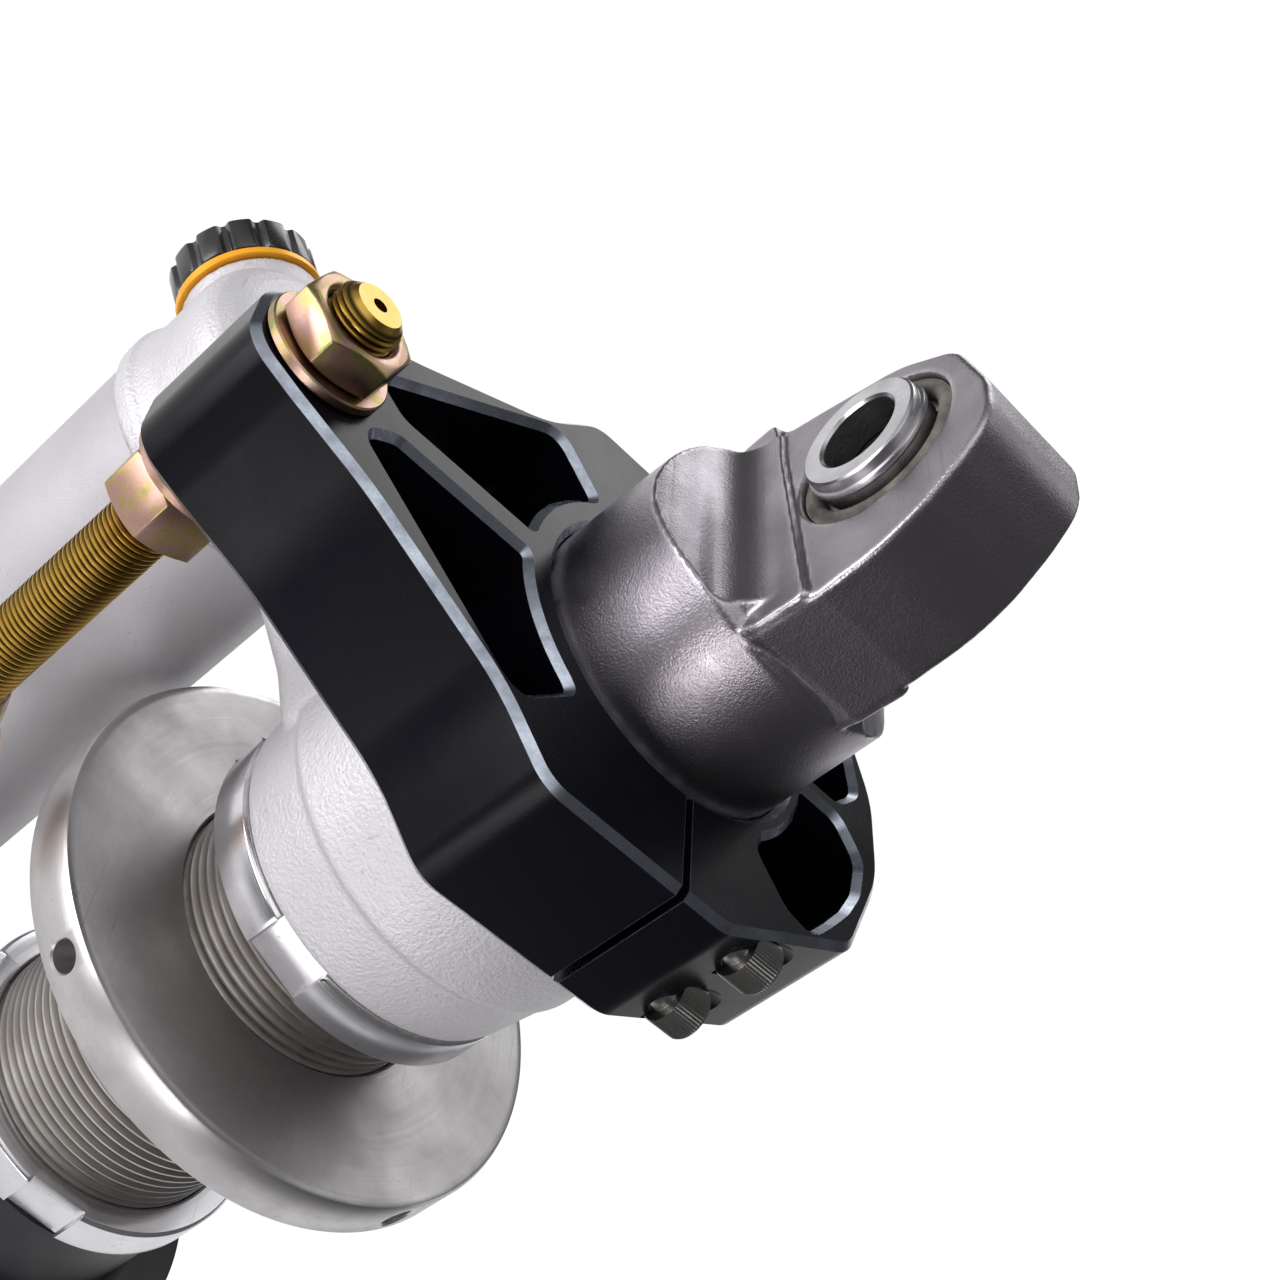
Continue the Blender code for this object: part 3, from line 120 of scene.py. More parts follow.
# ---- node groups
class Tree:
    """A thin hand on a shader node tree: adds nodes and joins their sockets."""

    def __init__(self, tree: Nodes) -> None:
        """Take hold of a node tree."""
        self.tree = tree

    def join(self, value: object, socket: Socket) -> None:
        """Feed a socket from another socket, or set it to a plain value."""
        if isinstance(value, Socket):
            self.tree.links.new(value, socket)
        else:
            socket.default_value = value

    def add(self, kind: str, values: dict | None = None, **settings: object) -> bpy.types.Node:
        """Add a node with its settings and its socket values or links.

        Args:
            kind: the node's type without its ShaderNode prefix.
            values: socket name or index to a value, or to an output socket.
            settings: properties of the node itself.

        Returns:
            The new node.
        """
        node = self.tree.nodes.new("ShaderNode" + kind)
        for key, value in settings.items():
            setattr(node, key, value)
        for key, value in (values or {}).items():
            self.join(value, node.inputs[key])
        return node

    def math(self, operation: str, first: object, second: object = 0.0,
             clamp: bool = False) -> Socket:
        """Return the result of a Math node on two values or sockets."""
        node = self.add("Math", {0: first, 1: second}, operation=operation, use_clamp=clamp)
        return node.outputs[0]

    def vector(self, operation: str, first: object, second: object = (0, 0, 0),
               output: int | str = 0) -> Socket:
        """Return the result of a Vector Math node on two vectors or sockets."""
        return self.add("VectorMath", {0: first, 1: second}, operation=operation).outputs[output]

    def spread(self, value: object, low: float, high: float, to_low: object = 0.0,
               to_high: object = 1.0) -> Socket:
        """Return a value mapped from one range to another, held at its ends."""
        ends = {"From Min": low, "From Max": high, "To Min": to_low, "To Max": to_high}
        return self.add("MapRange", {"Value": value, **ends}).outputs["Result"]

    def blend(self, share: object, first: object, second: object) -> Socket:
        """Return a colour mixed between two colours by a share."""
        return self.add("Mix", {0: share, 6: first, 7: second}, data_type="RGBA").outputs[2]

    def noise(self, vector: object, scale: object, detail: float = 3.0,
              rough: float = 0.55) -> Socket:
        """Return the height of a noise on a vector."""
        values = {"Vector": vector, "Scale": scale, "Detail": detail, "Roughness": rough}
        return self.add("TexNoise", values).outputs["Fac"]

    def grey(self, value: Socket) -> Socket:
        """Return a grey as bright as a value."""
        return self.add("CombineXYZ", {"X": value, "Y": value, "Z": value}).outputs[0]

    def off_axis(self, vector: object) -> Socket:
        """Return how far a place is from its own Z axis."""
        return self.vector("LENGTH", self.vector("MULTIPLY", vector, (1.0, 1.0, 0.0)), output="Value")


def four(colour: Colour) -> tuple[float, float, float, float]:
    """Return a colour with its alpha."""
    return (*colour, 1.0)


class Effect(Enum):
    """The effects that several finishes share, each one a node group of that name."""

    EDGE_WEAR = "edge_wear"
    GRAIN = "grain"
    TURNED = "turned_marks"
    CLOUDS = "clouds"
    # Painted shade in occluded recesses, mixed with dirt.
    GRIME = "grime"
    SCUFFS = "scuffs"
    PASSIVATE = "passivate_tints"


class EffectShelf:
    """Builds each shared node group once and hands it out."""

    def __init__(self) -> None:
        """Start with an empty shelf."""
        self.groups: dict[Effect, Nodes] = {}

    def place(self, tree: Tree, effect: Effect, values: dict) -> Sockets:
        """Place an effect in a material with its own values.

        Args:
            tree: the material's tree.
            effect: the effect to place, built on first use.
            values: socket name to value or output socket.

        Returns:
            The outputs of the group node.
        """
        if effect not in self.groups:
            self.groups[effect] = getattr(self, "make_" + effect.name.lower())()
        return tree.add("Group", values, node_tree=self.groups[effect]).outputs

    @staticmethod
    def frame_of(effect: Effect, inputs: dict[str, float], outputs: dict[str, str]
                 ) -> tuple[Tree, Sockets, Sockets]:
        """Open a node group with a vector, named values and named outputs.

        Args:
            effect: the effect that the group is named for.
            inputs: the name of each value that it takes, with its default.
            outputs: name to socket type, Float or Color.

        Returns:
            The tree, what it is given and what it puts out.
        """
        group = bpy.data.node_groups.new(effect.value, "ShaderNodeTree")
        group.interface.new_socket(name="Vector", in_out="INPUT", socket_type="NodeSocketVector")
        for key, value in inputs.items():
            socket = group.interface.new_socket(name=key, in_out="INPUT", socket_type="NodeSocketFloat")
            socket.default_value = value
        for key, kind in outputs.items():
            group.interface.new_socket(name=key, in_out="OUTPUT", socket_type="NodeSocket" + kind)
        given = group.nodes.new("NodeGroupInput").outputs
        return Tree(group), given, group.nodes.new("NodeGroupOutput").inputs

    def make_edge_wear(self) -> Nodes:
        """Return the group whose mask is white along worn edges."""
        values = {"Radius": 0.0004, "Amount": 1.0, "Scale": 300.0}
        tree, given, out = self.frame_of(Effect.EDGE_WEAR, values, {"Mask": "Float"})
        soft = tree.add("Bevel", {"Radius": given["Radius"]}, samples=6).outputs[0]
        plain = tree.add("NewGeometry").outputs["Normal"]
        bend = tree.math("SUBTRACT", 1.0, tree.vector("DOT_PRODUCT", soft, plain, "Value"))
        chips = tree.noise(given["Vector"], given["Scale"], 5.0, 0.7)
        lift = tree.spread(chips, 0.3, 0.62, 0.15, 1.6)
        mask = tree.math("MULTIPLY", tree.math("MULTIPLY", bend, 9.0), lift)
        tree.join(tree.math("MULTIPLY", mask, given["Amount"], clamp=True), out["Mask"])
        return tree.tree

    def make_grain(self) -> Nodes:
        """Return the group of fine all-over grain, such as blasting or casting skin."""
        values = {"Scale": 1500.0, "Coarse": 0.3}
        tree, given, out = self.frame_of(Effect.GRAIN, values, {"Height": "Float", "Mask": "Float"})
        fine = tree.noise(given["Vector"], given["Scale"], 2.0, 0.6)
        broad = tree.noise(given["Vector"], tree.math("MULTIPLY", given["Scale"], 0.28), 3.0, 0.6)
        mixed = tree.math("ADD", tree.math("MULTIPLY", broad, given["Coarse"]),
                          tree.math("MULTIPLY", fine, tree.math("SUBTRACT", 1.0, given["Coarse"])))
        tree.join(mixed, out["Height"])
        tree.join(tree.spread(mixed, 0.36, 0.64), out["Mask"])
        return tree.tree

    def make_turned(self) -> Nodes:
        """Return the group of turning marks round the vector's own Z axis."""
        marks_out = {"Height": "Float", "Mask": "Float"}
        tree, given, out = self.frame_of(Effect.TURNED, {"Scale": 2500.0}, marks_out)
        height = tree.add("SeparateXYZ", {0: given["Vector"]}).outputs["Z"]
        wander = tree.add("VectorMath", {0: given["Vector"], "Scale": 14.0}, operation="SCALE").outputs[0]
        drift = tree.add("SeparateXYZ", {0: wander}).outputs
        line = tree.add("CombineXYZ", {
            "X": tree.math("MULTIPLY", tree.off_axis(given["Vector"]), given["Scale"]),
            "Y": tree.math("MULTIPLY", height, given["Scale"]),
            "Z": tree.math("ADD", drift["X"], drift["Y"])})
        marks = tree.noise(line.outputs[0], 1.0, 3.0, 0.65)
        tree.join(marks, out["Height"])
        tree.join(tree.spread(marks, 0.35, 0.65), out["Mask"])
        return tree.tree

    def make_clouds(self) -> Nodes:
        """Return the group of broad soft patches, such as handling and tarnish."""
        tree, given, out = self.frame_of(Effect.CLOUDS, {"Scale": 40.0, "Contrast": 1.0}, {"Mask": "Float"})
        soft = tree.noise(given["Vector"], given["Scale"], 4.0, 0.6)
        contrast = tree.math("MULTIPLY", given["Contrast"], 2.6)
        half = tree.math("MULTIPLY", tree.math("SUBTRACT", soft, 0.5), contrast)
        tree.join(tree.math("ADD", half, 0.5, clamp=True), out["Mask"])
        return tree.tree

    def make_grime(self) -> Nodes:
        """Return the group whose mask is white in recesses found by occlusion, broken by spots: painted shade
        that the finish tints like dirt.
        """
        values = {"Reach": 0.003, "Amount": 1.0, "Scale": 250.0}
        tree, given, out = self.frame_of(Effect.GRIME, values, {"Mask": "Float"})
        hidden = tree.add("AmbientOcclusion", {"Distance": given["Reach"]}, samples=6).outputs["AO"]
        spots = tree.noise(given["Vector"], given["Scale"], 5.0, 0.65)
        mask = tree.math("MULTIPLY", tree.spread(hidden, 0.78, 0.3), tree.spread(spots, 0.35, 0.68))
        tree.join(tree.math("MULTIPLY", mask, given["Amount"], clamp=True), out["Mask"])
        return tree.tree

    def make_scuffs(self) -> Nodes:
        """Return the group of fine straight scratches that run two ways."""
        tree, given, out = self.frame_of(Effect.SCUFFS, {"Scale": 90.0, "Amount": 1.0}, {"Mask": "Float"})
        lines = 0.0
        for turn in ((0.5, 0.3, 0.9), (-0.7, 1.1, -0.4)):
            stretch = {"Vector": given["Vector"], "Rotation": turn, "Scale": (12.0, 0.22, 12.0)}
            line = tree.noise(tree.add("Mapping", stretch).outputs[0], given["Scale"], 1.0, 0.4)
            lines = tree.math("ADD", lines, tree.spread(line, 0.69, 0.74))
        gate = tree.spread(tree.noise(given["Vector"], 60.0, 2.0), 0.48, 0.62)
        mask = tree.math("MULTIPLY", lines, gate)
        tree.join(tree.math("MULTIPLY", mask, given["Amount"], clamp=True), out["Mask"])
        return tree.tree

    def make_passivate(self) -> Nodes:
        """Return the group of gold, pink and green tints of yellow zinc plate."""
        tree, given, out = self.frame_of(Effect.PASSIVATE, {"Scale": 140.0}, {"Colour": "Color"})
        broad = tree.noise(given["Vector"], given["Scale"], 3.0, 0.7)
        ramp = tree.add("ValToRGB", {"Fac": broad})
        stops = ramp.color_ramp.elements
        olive, *between, straw = (
            (0.32, (0.26, 0.3, 0.12)), (0.41, (0.44, 0.33, 0.13)), (0.49, (0.48, 0.31, 0.21)),
            (0.6, (0.5, 0.3, 0.28)), (0.72, (0.36, 0.33, 0.22)))
        for stop, (place, tint) in ((stops[0], olive), (stops[1], straw)):
            stop.position = place
            stop.color = four(tint)
        for place, tint in between:
            stops.new(place).color = four(tint)
        tree.join(ramp.outputs["Color"], out["Colour"])
        return tree.tree


# ---- finishes
class Skin(Enum):
    """How the surface was made, which sets its small relief."""

    BLASTED = "blasted"
    TURNED = "turned"
    TUMBLED = "tumbled"
    MOULDED = "moulded"


@dataclass(frozen=True)
class Datum:
    """The axis a turned piece was made on, as a place and a turn of its marks."""

    name: str = "shock"
    place: Point = (0, 0, 0)
    turn: Point = (0, 0, 0)


@dataclass(frozen=True)
class Finish:
    """One surface finish: its colours, its gloss, its relief and its wear."""

    name: str
    skin: Skin
    light: Colour
    dark: Colour
    roughness: float
    metallic: float = 1.0
    spread: float = 0.08
    cloud_scale: float = 60.0
    cloud: float = 0.8
    grain: float = 2500.0
    relief: float = 0.00001
    tint: float = 0.1
    wear: float = 0.0
    wear_colour: Colour = (0.8, 0.8, 0.82)
    wear_radius: float = 0.0004
    wear_rough: float = 0.25
    # Recesses darkened or dusted by occlusion: painted shade mixed with dirt.
    grime: float = 0.0
    grime_colour: Colour = (0.16, 0.11, 0.07)
    grime_reach: float = 0.003
    scuffs: float = 0.0
    specular: float = 0.5
    coat: float = 0.0
    coat_roughness: float = 0.1
    plated: bool = False
    groove: tuple[float, float] = (0.0, 0.0)
    # Colour of the painted shade down in a thread's grooves.
    groove_colour: Colour = (0.1, 0.075, 0.05)


class Finishes:
    """The finishes of this damper."""

    HEAD_STEEL = Finish("head_steel", Skin.BLASTED, (0.37, 0.345, 0.375), (0.25, 0.232, 0.258), 0.31,
        spread=0.09, cloud_scale=55.0, cloud=0.9, grain=2300.0, relief=0.0001,
        tint=0.3, wear=2.2, wear_colour=(0.86, 0.84, 0.86), wear_radius=0.0011, wear_rough=0.3,
        grime=0.35, grime_colour=(0.2, 0.16, 0.12), scuffs=0.25)
    BLACK_ANODISED = Finish("black_anodised", Skin.TUMBLED, (0.0036, 0.0036, 0.0068),
        (0.0014, 0.0014, 0.0026), 0.23, metallic=0.0, spread=0.07, grain=3200.0,
        relief=0.000006, tint=0.25, wear=0.25, wear_colour=(0.1, 0.1, 0.12), wear_radius=0.00025,
        wear_rough=0.3, specular=0.17)
    # Bare cut chamfers, bright and bluish: in part a painted highlight of the overhead light.
    BRIGHT_CUT = Finish("bright_cut", Skin.TUMBLED, (0.47, 0.52, 0.6), (0.24, 0.26, 0.31), 0.22,
        spread=0.1, cloud_scale=160.0, cloud=1.2, tint=0.3)
    CAST_SILVER = Finish("cast_silver", Skin.BLASTED, (0.62, 0.61, 0.64), (0.51, 0.495, 0.525), 0.46,
        metallic=0.45, cloud_scale=40.0, cloud=0.6, grain=1250.0, relief=0.00036, tint=0.16,
        wear=0.25, wear_colour=(0.9, 0.9, 0.92), wear_radius=0.0006, wear_rough=0.3, grime=0.85,
        grime_colour=(0.36, 0.27, 0.16), grime_reach=0.004, scuffs=0.35)
    TUBE_SILVER = Finish("tube_silver", Skin.BLASTED, (0.53, 0.515, 0.54), (0.42, 0.405, 0.43), 0.42,
        metallic=0.5, cloud_scale=35.0, cloud=0.7, grain=2400.0, relief=0.00008, tint=0.14,
        wear=0.2, grime=0.5, scuffs=0.25)
    POLISHED = Finish("polished_ring", Skin.TURNED, (0.84, 0.83, 0.86), (0.66, 0.65, 0.69), 0.15,
        metallic=0.95, cloud_scale=70.0, grain=1800.0, relief=0.000015, tint=0.12, wear=0.4,
        grime=0.7, grime_reach=0.002, scuffs=0.4)
    BRUSHED = Finish("brushed_flange", Skin.TURNED, (0.58, 0.565, 0.57), (0.4, 0.385, 0.39), 0.3,
        metallic=0.9, spread=0.1, cloud=1.1, grain=1500.0, relief=0.00003, tint=0.25,
        wear=0.5, grime=0.5, scuffs=0.3)
    BODY_THREAD = Finish("body_thread", Skin.TURNED, (0.56, 0.545, 0.535), (0.38, 0.365, 0.35), 0.32,
        spread=0.1, cloud_scale=90.0, cloud=0.9, tint=0.2, wear=0.3, grime=0.9,
        grime_colour=(0.17, 0.14, 0.1), grime_reach=0.0016, groove=(0.0288, 0.0299),
        groove_colour=(0.2, 0.17, 0.14))
    STEEL = Finish("ground_steel", Skin.TURNED, (0.72, 0.71, 0.71), (0.54, 0.53, 0.53), 0.22,
        cloud_scale=120.0, grain=3000.0, relief=0.000012, tint=0.15, wear=0.3, grime=0.4,
        grime_reach=0.002, scuffs=0.5)
    DARK_STEEL = Finish("black_oxide", Skin.TUMBLED, (0.46, 0.45, 0.44), (0.22, 0.215, 0.21), 0.3,
        spread=0.1, cloud_scale=200.0, cloud=1.0, grain=3000.0, tint=0.2, wear=0.8,
        wear_colour=(0.62, 0.6, 0.58), wear_radius=0.0003)
    ZINC = Finish("yellow_zinc", Skin.TUMBLED, (0.46, 0.3, 0.22), (0.24, 0.17, 0.1), 0.31,
        cloud_scale=210.0, cloud=0.6, grain=4200.0, relief=0.00003, tint=0.35, wear=0.35,
        wear_colour=(0.62, 0.55, 0.4), wear_radius=0.0003, plated=True)
    CHROME = Finish("hard_chrome", Skin.TURNED, (0.86, 0.86, 0.88), (0.8, 0.8, 0.82), 0.07,
        spread=0.04, cloud=0.5, grain=3000.0, relief=0.000002, tint=0.05)
    SPACER = Finish("turned_spacer", Skin.TURNED, (0.66, 0.65, 0.67), (0.46, 0.45, 0.47), 0.24,
        cloud_scale=160.0, cloud=1.0, grain=2600.0, tint=0.15)
    BLACK_TURNED = Finish("black_turned", Skin.TURNED, (0.012, 0.012, 0.016), (0.005, 0.005, 0.007), 0.3,
        metallic=0.0, tint=0.2, specular=0.4)
    ROD_THREAD = Finish("zinc_thread", Skin.TUMBLED, (0.6, 0.38, 0.1), (0.4, 0.24, 0.04), 0.24,
        cloud_scale=90.0, cloud=0.5, grain=2600.0, groove=(0.0057, 0.00625),
        groove_colour=(0.055, 0.04, 0.01))
    RUBBER = Finish("dusty_rubber", Skin.MOULDED, (0.16, 0.145, 0.125), (0.055, 0.052, 0.048), 0.72,
        metallic=0.0, spread=0.1, cloud_scale=240.0, cloud=1.3, grain=2400.0, relief=0.00006,
        tint=0.3, wear=0.2, wear_colour=(0.36, 0.31, 0.24), wear_radius=0.0005, wear_rough=0.8,
        grime=0.3, grime_colour=(0.42, 0.34, 0.22), grime_reach=0.0015)
    GLOSS_BLACK = Finish("gloss_black", Skin.MOULDED, (0.012, 0.012, 0.014), (0.007, 0.007, 0.008), 0.24,
        metallic=0.0, cloud_scale=120.0, grain=2400.0, wear=0.15, wear_colour=(0.12, 0.12, 0.13),
        coat=0.35)
    ORANGE = Finish("orange_anodised", Skin.TURNED, (0.95, 0.47, 0.03), (0.78, 0.3, 0.01), 0.3,
        metallic=0.35, spread=0.06, cloud_scale=90.0, cloud=0.7)
    FOAM = Finish("bump_foam", Skin.MOULDED, (0.8, 0.66, 0.26), (0.62, 0.48, 0.15), 0.62, metallic=0.0,
        spread=0.1, cloud_scale=120.0, cloud=1.0, grain=1200.0, relief=0.00008,
        tint=0.15, grime=0.4, grime_colour=(0.3, 0.22, 0.1))
    SPRING_COAT = Finish("spring_coat", Skin.MOULDED, (0.02, 0.02, 0.022), (0.011, 0.011, 0.012), 0.34,
        metallic=0.0, cloud_scale=70.0, grain=900.0, relief=0.00004, wear=0.2,
        wear_colour=(0.1, 0.1, 0.1), wear_radius=0.0005, coat=0.25, coat_roughness=0.18)


class FinishShop:
    """Makes the node material of each finish, once for each datum."""

    SCUFF_SHADE = 0.55
    SCUFF_ROUGH = 0.15
    DIRT_ROUGH = 0.8
    DIRT_METAL = 0.1
    GROOVE_ROUGH = 0.6
    GROOVE_FLOOR = (0.0006, 0.0002)

    def __init__(self, shelf: EffectShelf) -> None:
        """Open the shop with the shelf of shared effects."""
        self.shelf = shelf
        self.made: dict[tuple[str, str], bpy.types.Material] = {}

    def material(self, finish: Finish, datum: Datum = Datum()) -> bpy.types.Material:
        """Return the material of a finish, with its marks about a datum.

        Args:
            finish: the finish wanted.
            datum: the axis of its turning marks.

        Returns:
            The material, the same one each time.
        """
        key = (finish.name, datum.name)
        if key not in self.made:
            self.made[key] = self.build(finish, datum)
        return self.made[key]

    def sunk(self, tree: Tree, local: Socket, groove: tuple[float, float]
             ) -> Socket:
        """Return a mask that is white down in a thread's grooves, where shade is painted."""
        radius = tree.off_axis(local)
        root, shallow = groove
        inside, outside = self.GROOVE_FLOOR
        floor = tree.spread(radius, root - inside, root - outside)
        return tree.math("MULTIPLY", tree.spread(radius, shallow, root), floor)

    def build(self, finish: Finish, datum: Datum) -> bpy.types.Material:
        """Build the node tree of one finish, one layer of effects over the other.

        Args:
            finish: the finish wanted.
            datum: the axis of its turning marks.

        Returns:
            The new material.
        """
        material = bpy.data.materials.new(f"{finish.name}_{datum.name}")
        material.use_nodes = True
        tree = Tree(material.node_tree)
        shader = material.node_tree.nodes["Principled BSDF"]
        place = tree.add("TexCoord").outputs["Object"]
        about = {"Vector": place, "Location": datum.place, "Rotation": datum.turn}
        local = tree.add("Mapping", about, vector_type="TEXTURE").outputs[0]

        def layer(effect: Effect, **values: float) -> Sockets:
            """Return the outputs of an effect placed on this material."""
            return self.shelf.place(tree, effect, {"Vector": local, **values})

        clouds = layer(Effect.CLOUDS, Scale=finish.cloud_scale, Contrast=finish.cloud)["Mask"]
        marks = Effect.TURNED if finish.skin is Skin.TURNED else Effect.GRAIN
        relief = layer(marks, Scale=finish.grain)
        colour = tree.blend(clouds, four(finish.dark), four(finish.light))
        if finish.plated:
            colour = layer(Effect.PASSIVATE, Scale=finish.cloud_scale)["Colour"]
        shade = tree.math("MULTIPLY", relief["Mask"], finish.tint)
        colour = tree.blend(shade, colour, four(finish.dark))
        dull, keen = finish.roughness + finish.spread, finish.roughness - finish.spread / 2
        rough = tree.spread(clouds, 0.0, 1.0, dull, keen)
        rough = tree.math("ADD", rough, tree.math("MULTIPLY", relief["Mask"], finish.spread * 0.5))
        metal = finish.metallic
        if finish.scuffs > 0.0:
            scuffs = layer(Effect.SCUFFS, Amount=finish.scuffs)["Mask"]
            colour = tree.blend(scuffs, colour, four(tuple(c * self.SCUFF_SHADE for c in finish.dark)))
            rough = tree.math("ADD", rough, tree.math("MULTIPLY", scuffs, self.SCUFF_ROUGH))
        if finish.wear > 0.0:
            worn = layer(Effect.EDGE_WEAR, Radius=finish.wear_radius, Amount=finish.wear)["Mask"]
            colour = tree.blend(worn, colour, four(finish.wear_colour))
            rough = tree.spread(worn, 0.0, 1.0, rough, finish.wear_rough)
        # Occluded recesses take the dirt colour and turn rougher and less metallic: painted shade mixed with
        # dirt.
        if finish.grime > 0.0:
            shade_and_dirt_mask = layer(Effect.GRIME, Reach=finish.grime_reach, Amount=finish.grime)["Mask"]
            colour = tree.blend(shade_and_dirt_mask, colour, four(finish.grime_colour))
            rough = tree.spread(shade_and_dirt_mask, 0.0, 1.0, rough, self.DIRT_ROUGH)
            metal = tree.spread(shade_and_dirt_mask, 0.0, 1.0, finish.metallic, self.DIRT_METAL * finish.metallic)
        # Painted shade down in the thread's grooves, with a duller surface.
        if finish.groove[1] > 0.0:
            sunk = self.sunk(tree, local, finish.groove)
            colour = tree.blend(sunk, colour, four(finish.groove_colour))
            rough = tree.spread(sunk, 0.0, 1.0, rough, self.GROOVE_ROUGH)
        height = {"Height": relief["Height"], "Distance": finish.relief, "Strength": 1.0}
        surface = {
            "Base Color": colour, "Roughness": rough, "Metallic": metal,
            "Normal": tree.add("Bump", height).outputs[0], "Specular IOR Level": finish.specular,
            "Coat Weight": finish.coat, "Coat Roughness": finish.coat_roughness}
        for key, value in surface.items():
            tree.join(value, shader.inputs[key])
        return material

    def dress(self, obj: Piece, finish: Finish, datum: Datum = Datum()) -> None:
        """Put a finish on every slot of an object.

        Args:
            obj: the piece or CAD node.
            finish: its finish.
            datum: the axis of its turning marks.
        """
        material = self.material(finish, datum)
        if not obj.data.materials:
            obj.data.materials.append(material)
        for slot in obj.material_slots:
            slot.material = material


# ---- bench
class Axis(Enum):
    """Where a piece's own Z points once it is in place, as turns about X and Y."""

    X = (0.0, QUARTER)
    Y = (-QUARTER, 0.0)
    Z = (0.0, 0.0)


# How an outline's plane lies: UPRIGHT extrudes along X, SIDEWAYS along Y.
UPRIGHT = Matrix(((0, 0, 1, 0), (1, 0, 0, 0), (0, 1, 0, 0), (0, 0, 0, 1)))
SIDEWAYS = Matrix(((1, 0, 0, 0), (0, 0, -1, 0), (0, 1, 0, 0), (0, 0, 0, 1)))


def radial(angle: float, centre: Point) -> Matrix:
    """Return the frame at a centre whose Z points outwards at an angle about Z."""
    return Matrix.Translation(centre) @ Matrix.Rotation(angle, 4, "Z") @ Matrix.Rotation(QUARTER, 4, "Y")


def held(value: float) -> float:
    """Return a value held between 0 and 1."""
    return min(max(value, 0.0), 1.0)


def eased(share: float) -> float:
    """Return a share of a way with its start and its end made smooth."""
    return share * share * (3 - 2 * share)


class Outline:
    """Flat outlines and turned profiles as lists of points."""

    @staticmethod
    def rounded(corners: list[Point], steps: int = 8) -> Profile:
        """Round the corners of a closed outline.

        Args:
            corners: (x, y, radius) for each corner.
            steps: how many facets each round gets.

        Returns:
            The outline's points.
        """
        outline: Profile = []
        count = len(corners)
        for index, (x, y, radius) in enumerate(corners):
            corner = Vector((x, y))
            if radius <= 0.0:
                outline.append((x, y))
                continue
            before = Vector(corners[index - 1][:2]) - corner
            after = Vector(corners[(index + 1) % count][:2]) - corner
            half = before.angle(after) / 2
            reach = min(radius / math.tan(half), 0.49 * before.length, 0.49 * after.length)
            true_radius = reach * math.tan(half)
            middle = (before.normalized() + after.normalized()).normalized()
            centre = corner + middle * (true_radius / math.sin(half))
            start = corner + before.normalized() * reach - centre
            sweep = start.angle_signed(corner + after.normalized() * reach - centre)
            for step in range(steps + 1):
                point = centre + Matrix.Rotation(-sweep * step / steps, 2) @ start
                outline.append((point.x, point.y))
        return outline

    @staticmethod
    def mirrored(half: list[Point]) -> list[Point]:
        """Close a half outline by its mirror image across the first axis."""
        return half + [(x, -y, radius) for x, y, radius in reversed(half)]

    @staticmethod
    def arc(radius: float, start: float, end: float, steps: int) -> list[Point]:
        """Return corners along an arc about the origin, angles in degrees."""
        angles = [math.radians(start + (end - start) * step / steps) for step in range(steps + 1)]
        return [(radius * math.cos(angle), radius * math.sin(angle), 0.0) for angle in angles]

    @staticmethod
    def hexagon(corner: float, turn: float) -> Profile:
        """Return a hexagon by its corner radius, its first corner at a turn in degrees."""
        angles = [math.radians(turn + side) for side in range(0, 360, 60)]
        return [(corner * math.cos(angle), corner * math.sin(angle)) for angle in angles]

    @staticmethod
    def ball(radius: float, half: float, steps: int = 16) -> Profile:
        """Return (radius, height) down a ball cut flat at both ends."""
        limit = math.asin(half / radius)
        angles = [limit - 2 * limit * step / steps for step in range(steps + 1)]
        return [(radius * math.cos(angle), radius * math.sin(angle)) for angle in angles]

    @staticmethod
    def rod(radius: float, high: float, low: float, edge: float = 0.0) -> Profile:
        """Return (radius, height) down a rod whose ends may be broken by a small edge."""
        if edge <= 0.0:
            return [(0, high), (radius, high), (radius, low), (0, low)]
        return [(0, high), (radius - edge, high), (radius, high - edge), (radius, low + edge),
                (radius - edge, low), (0, low)]


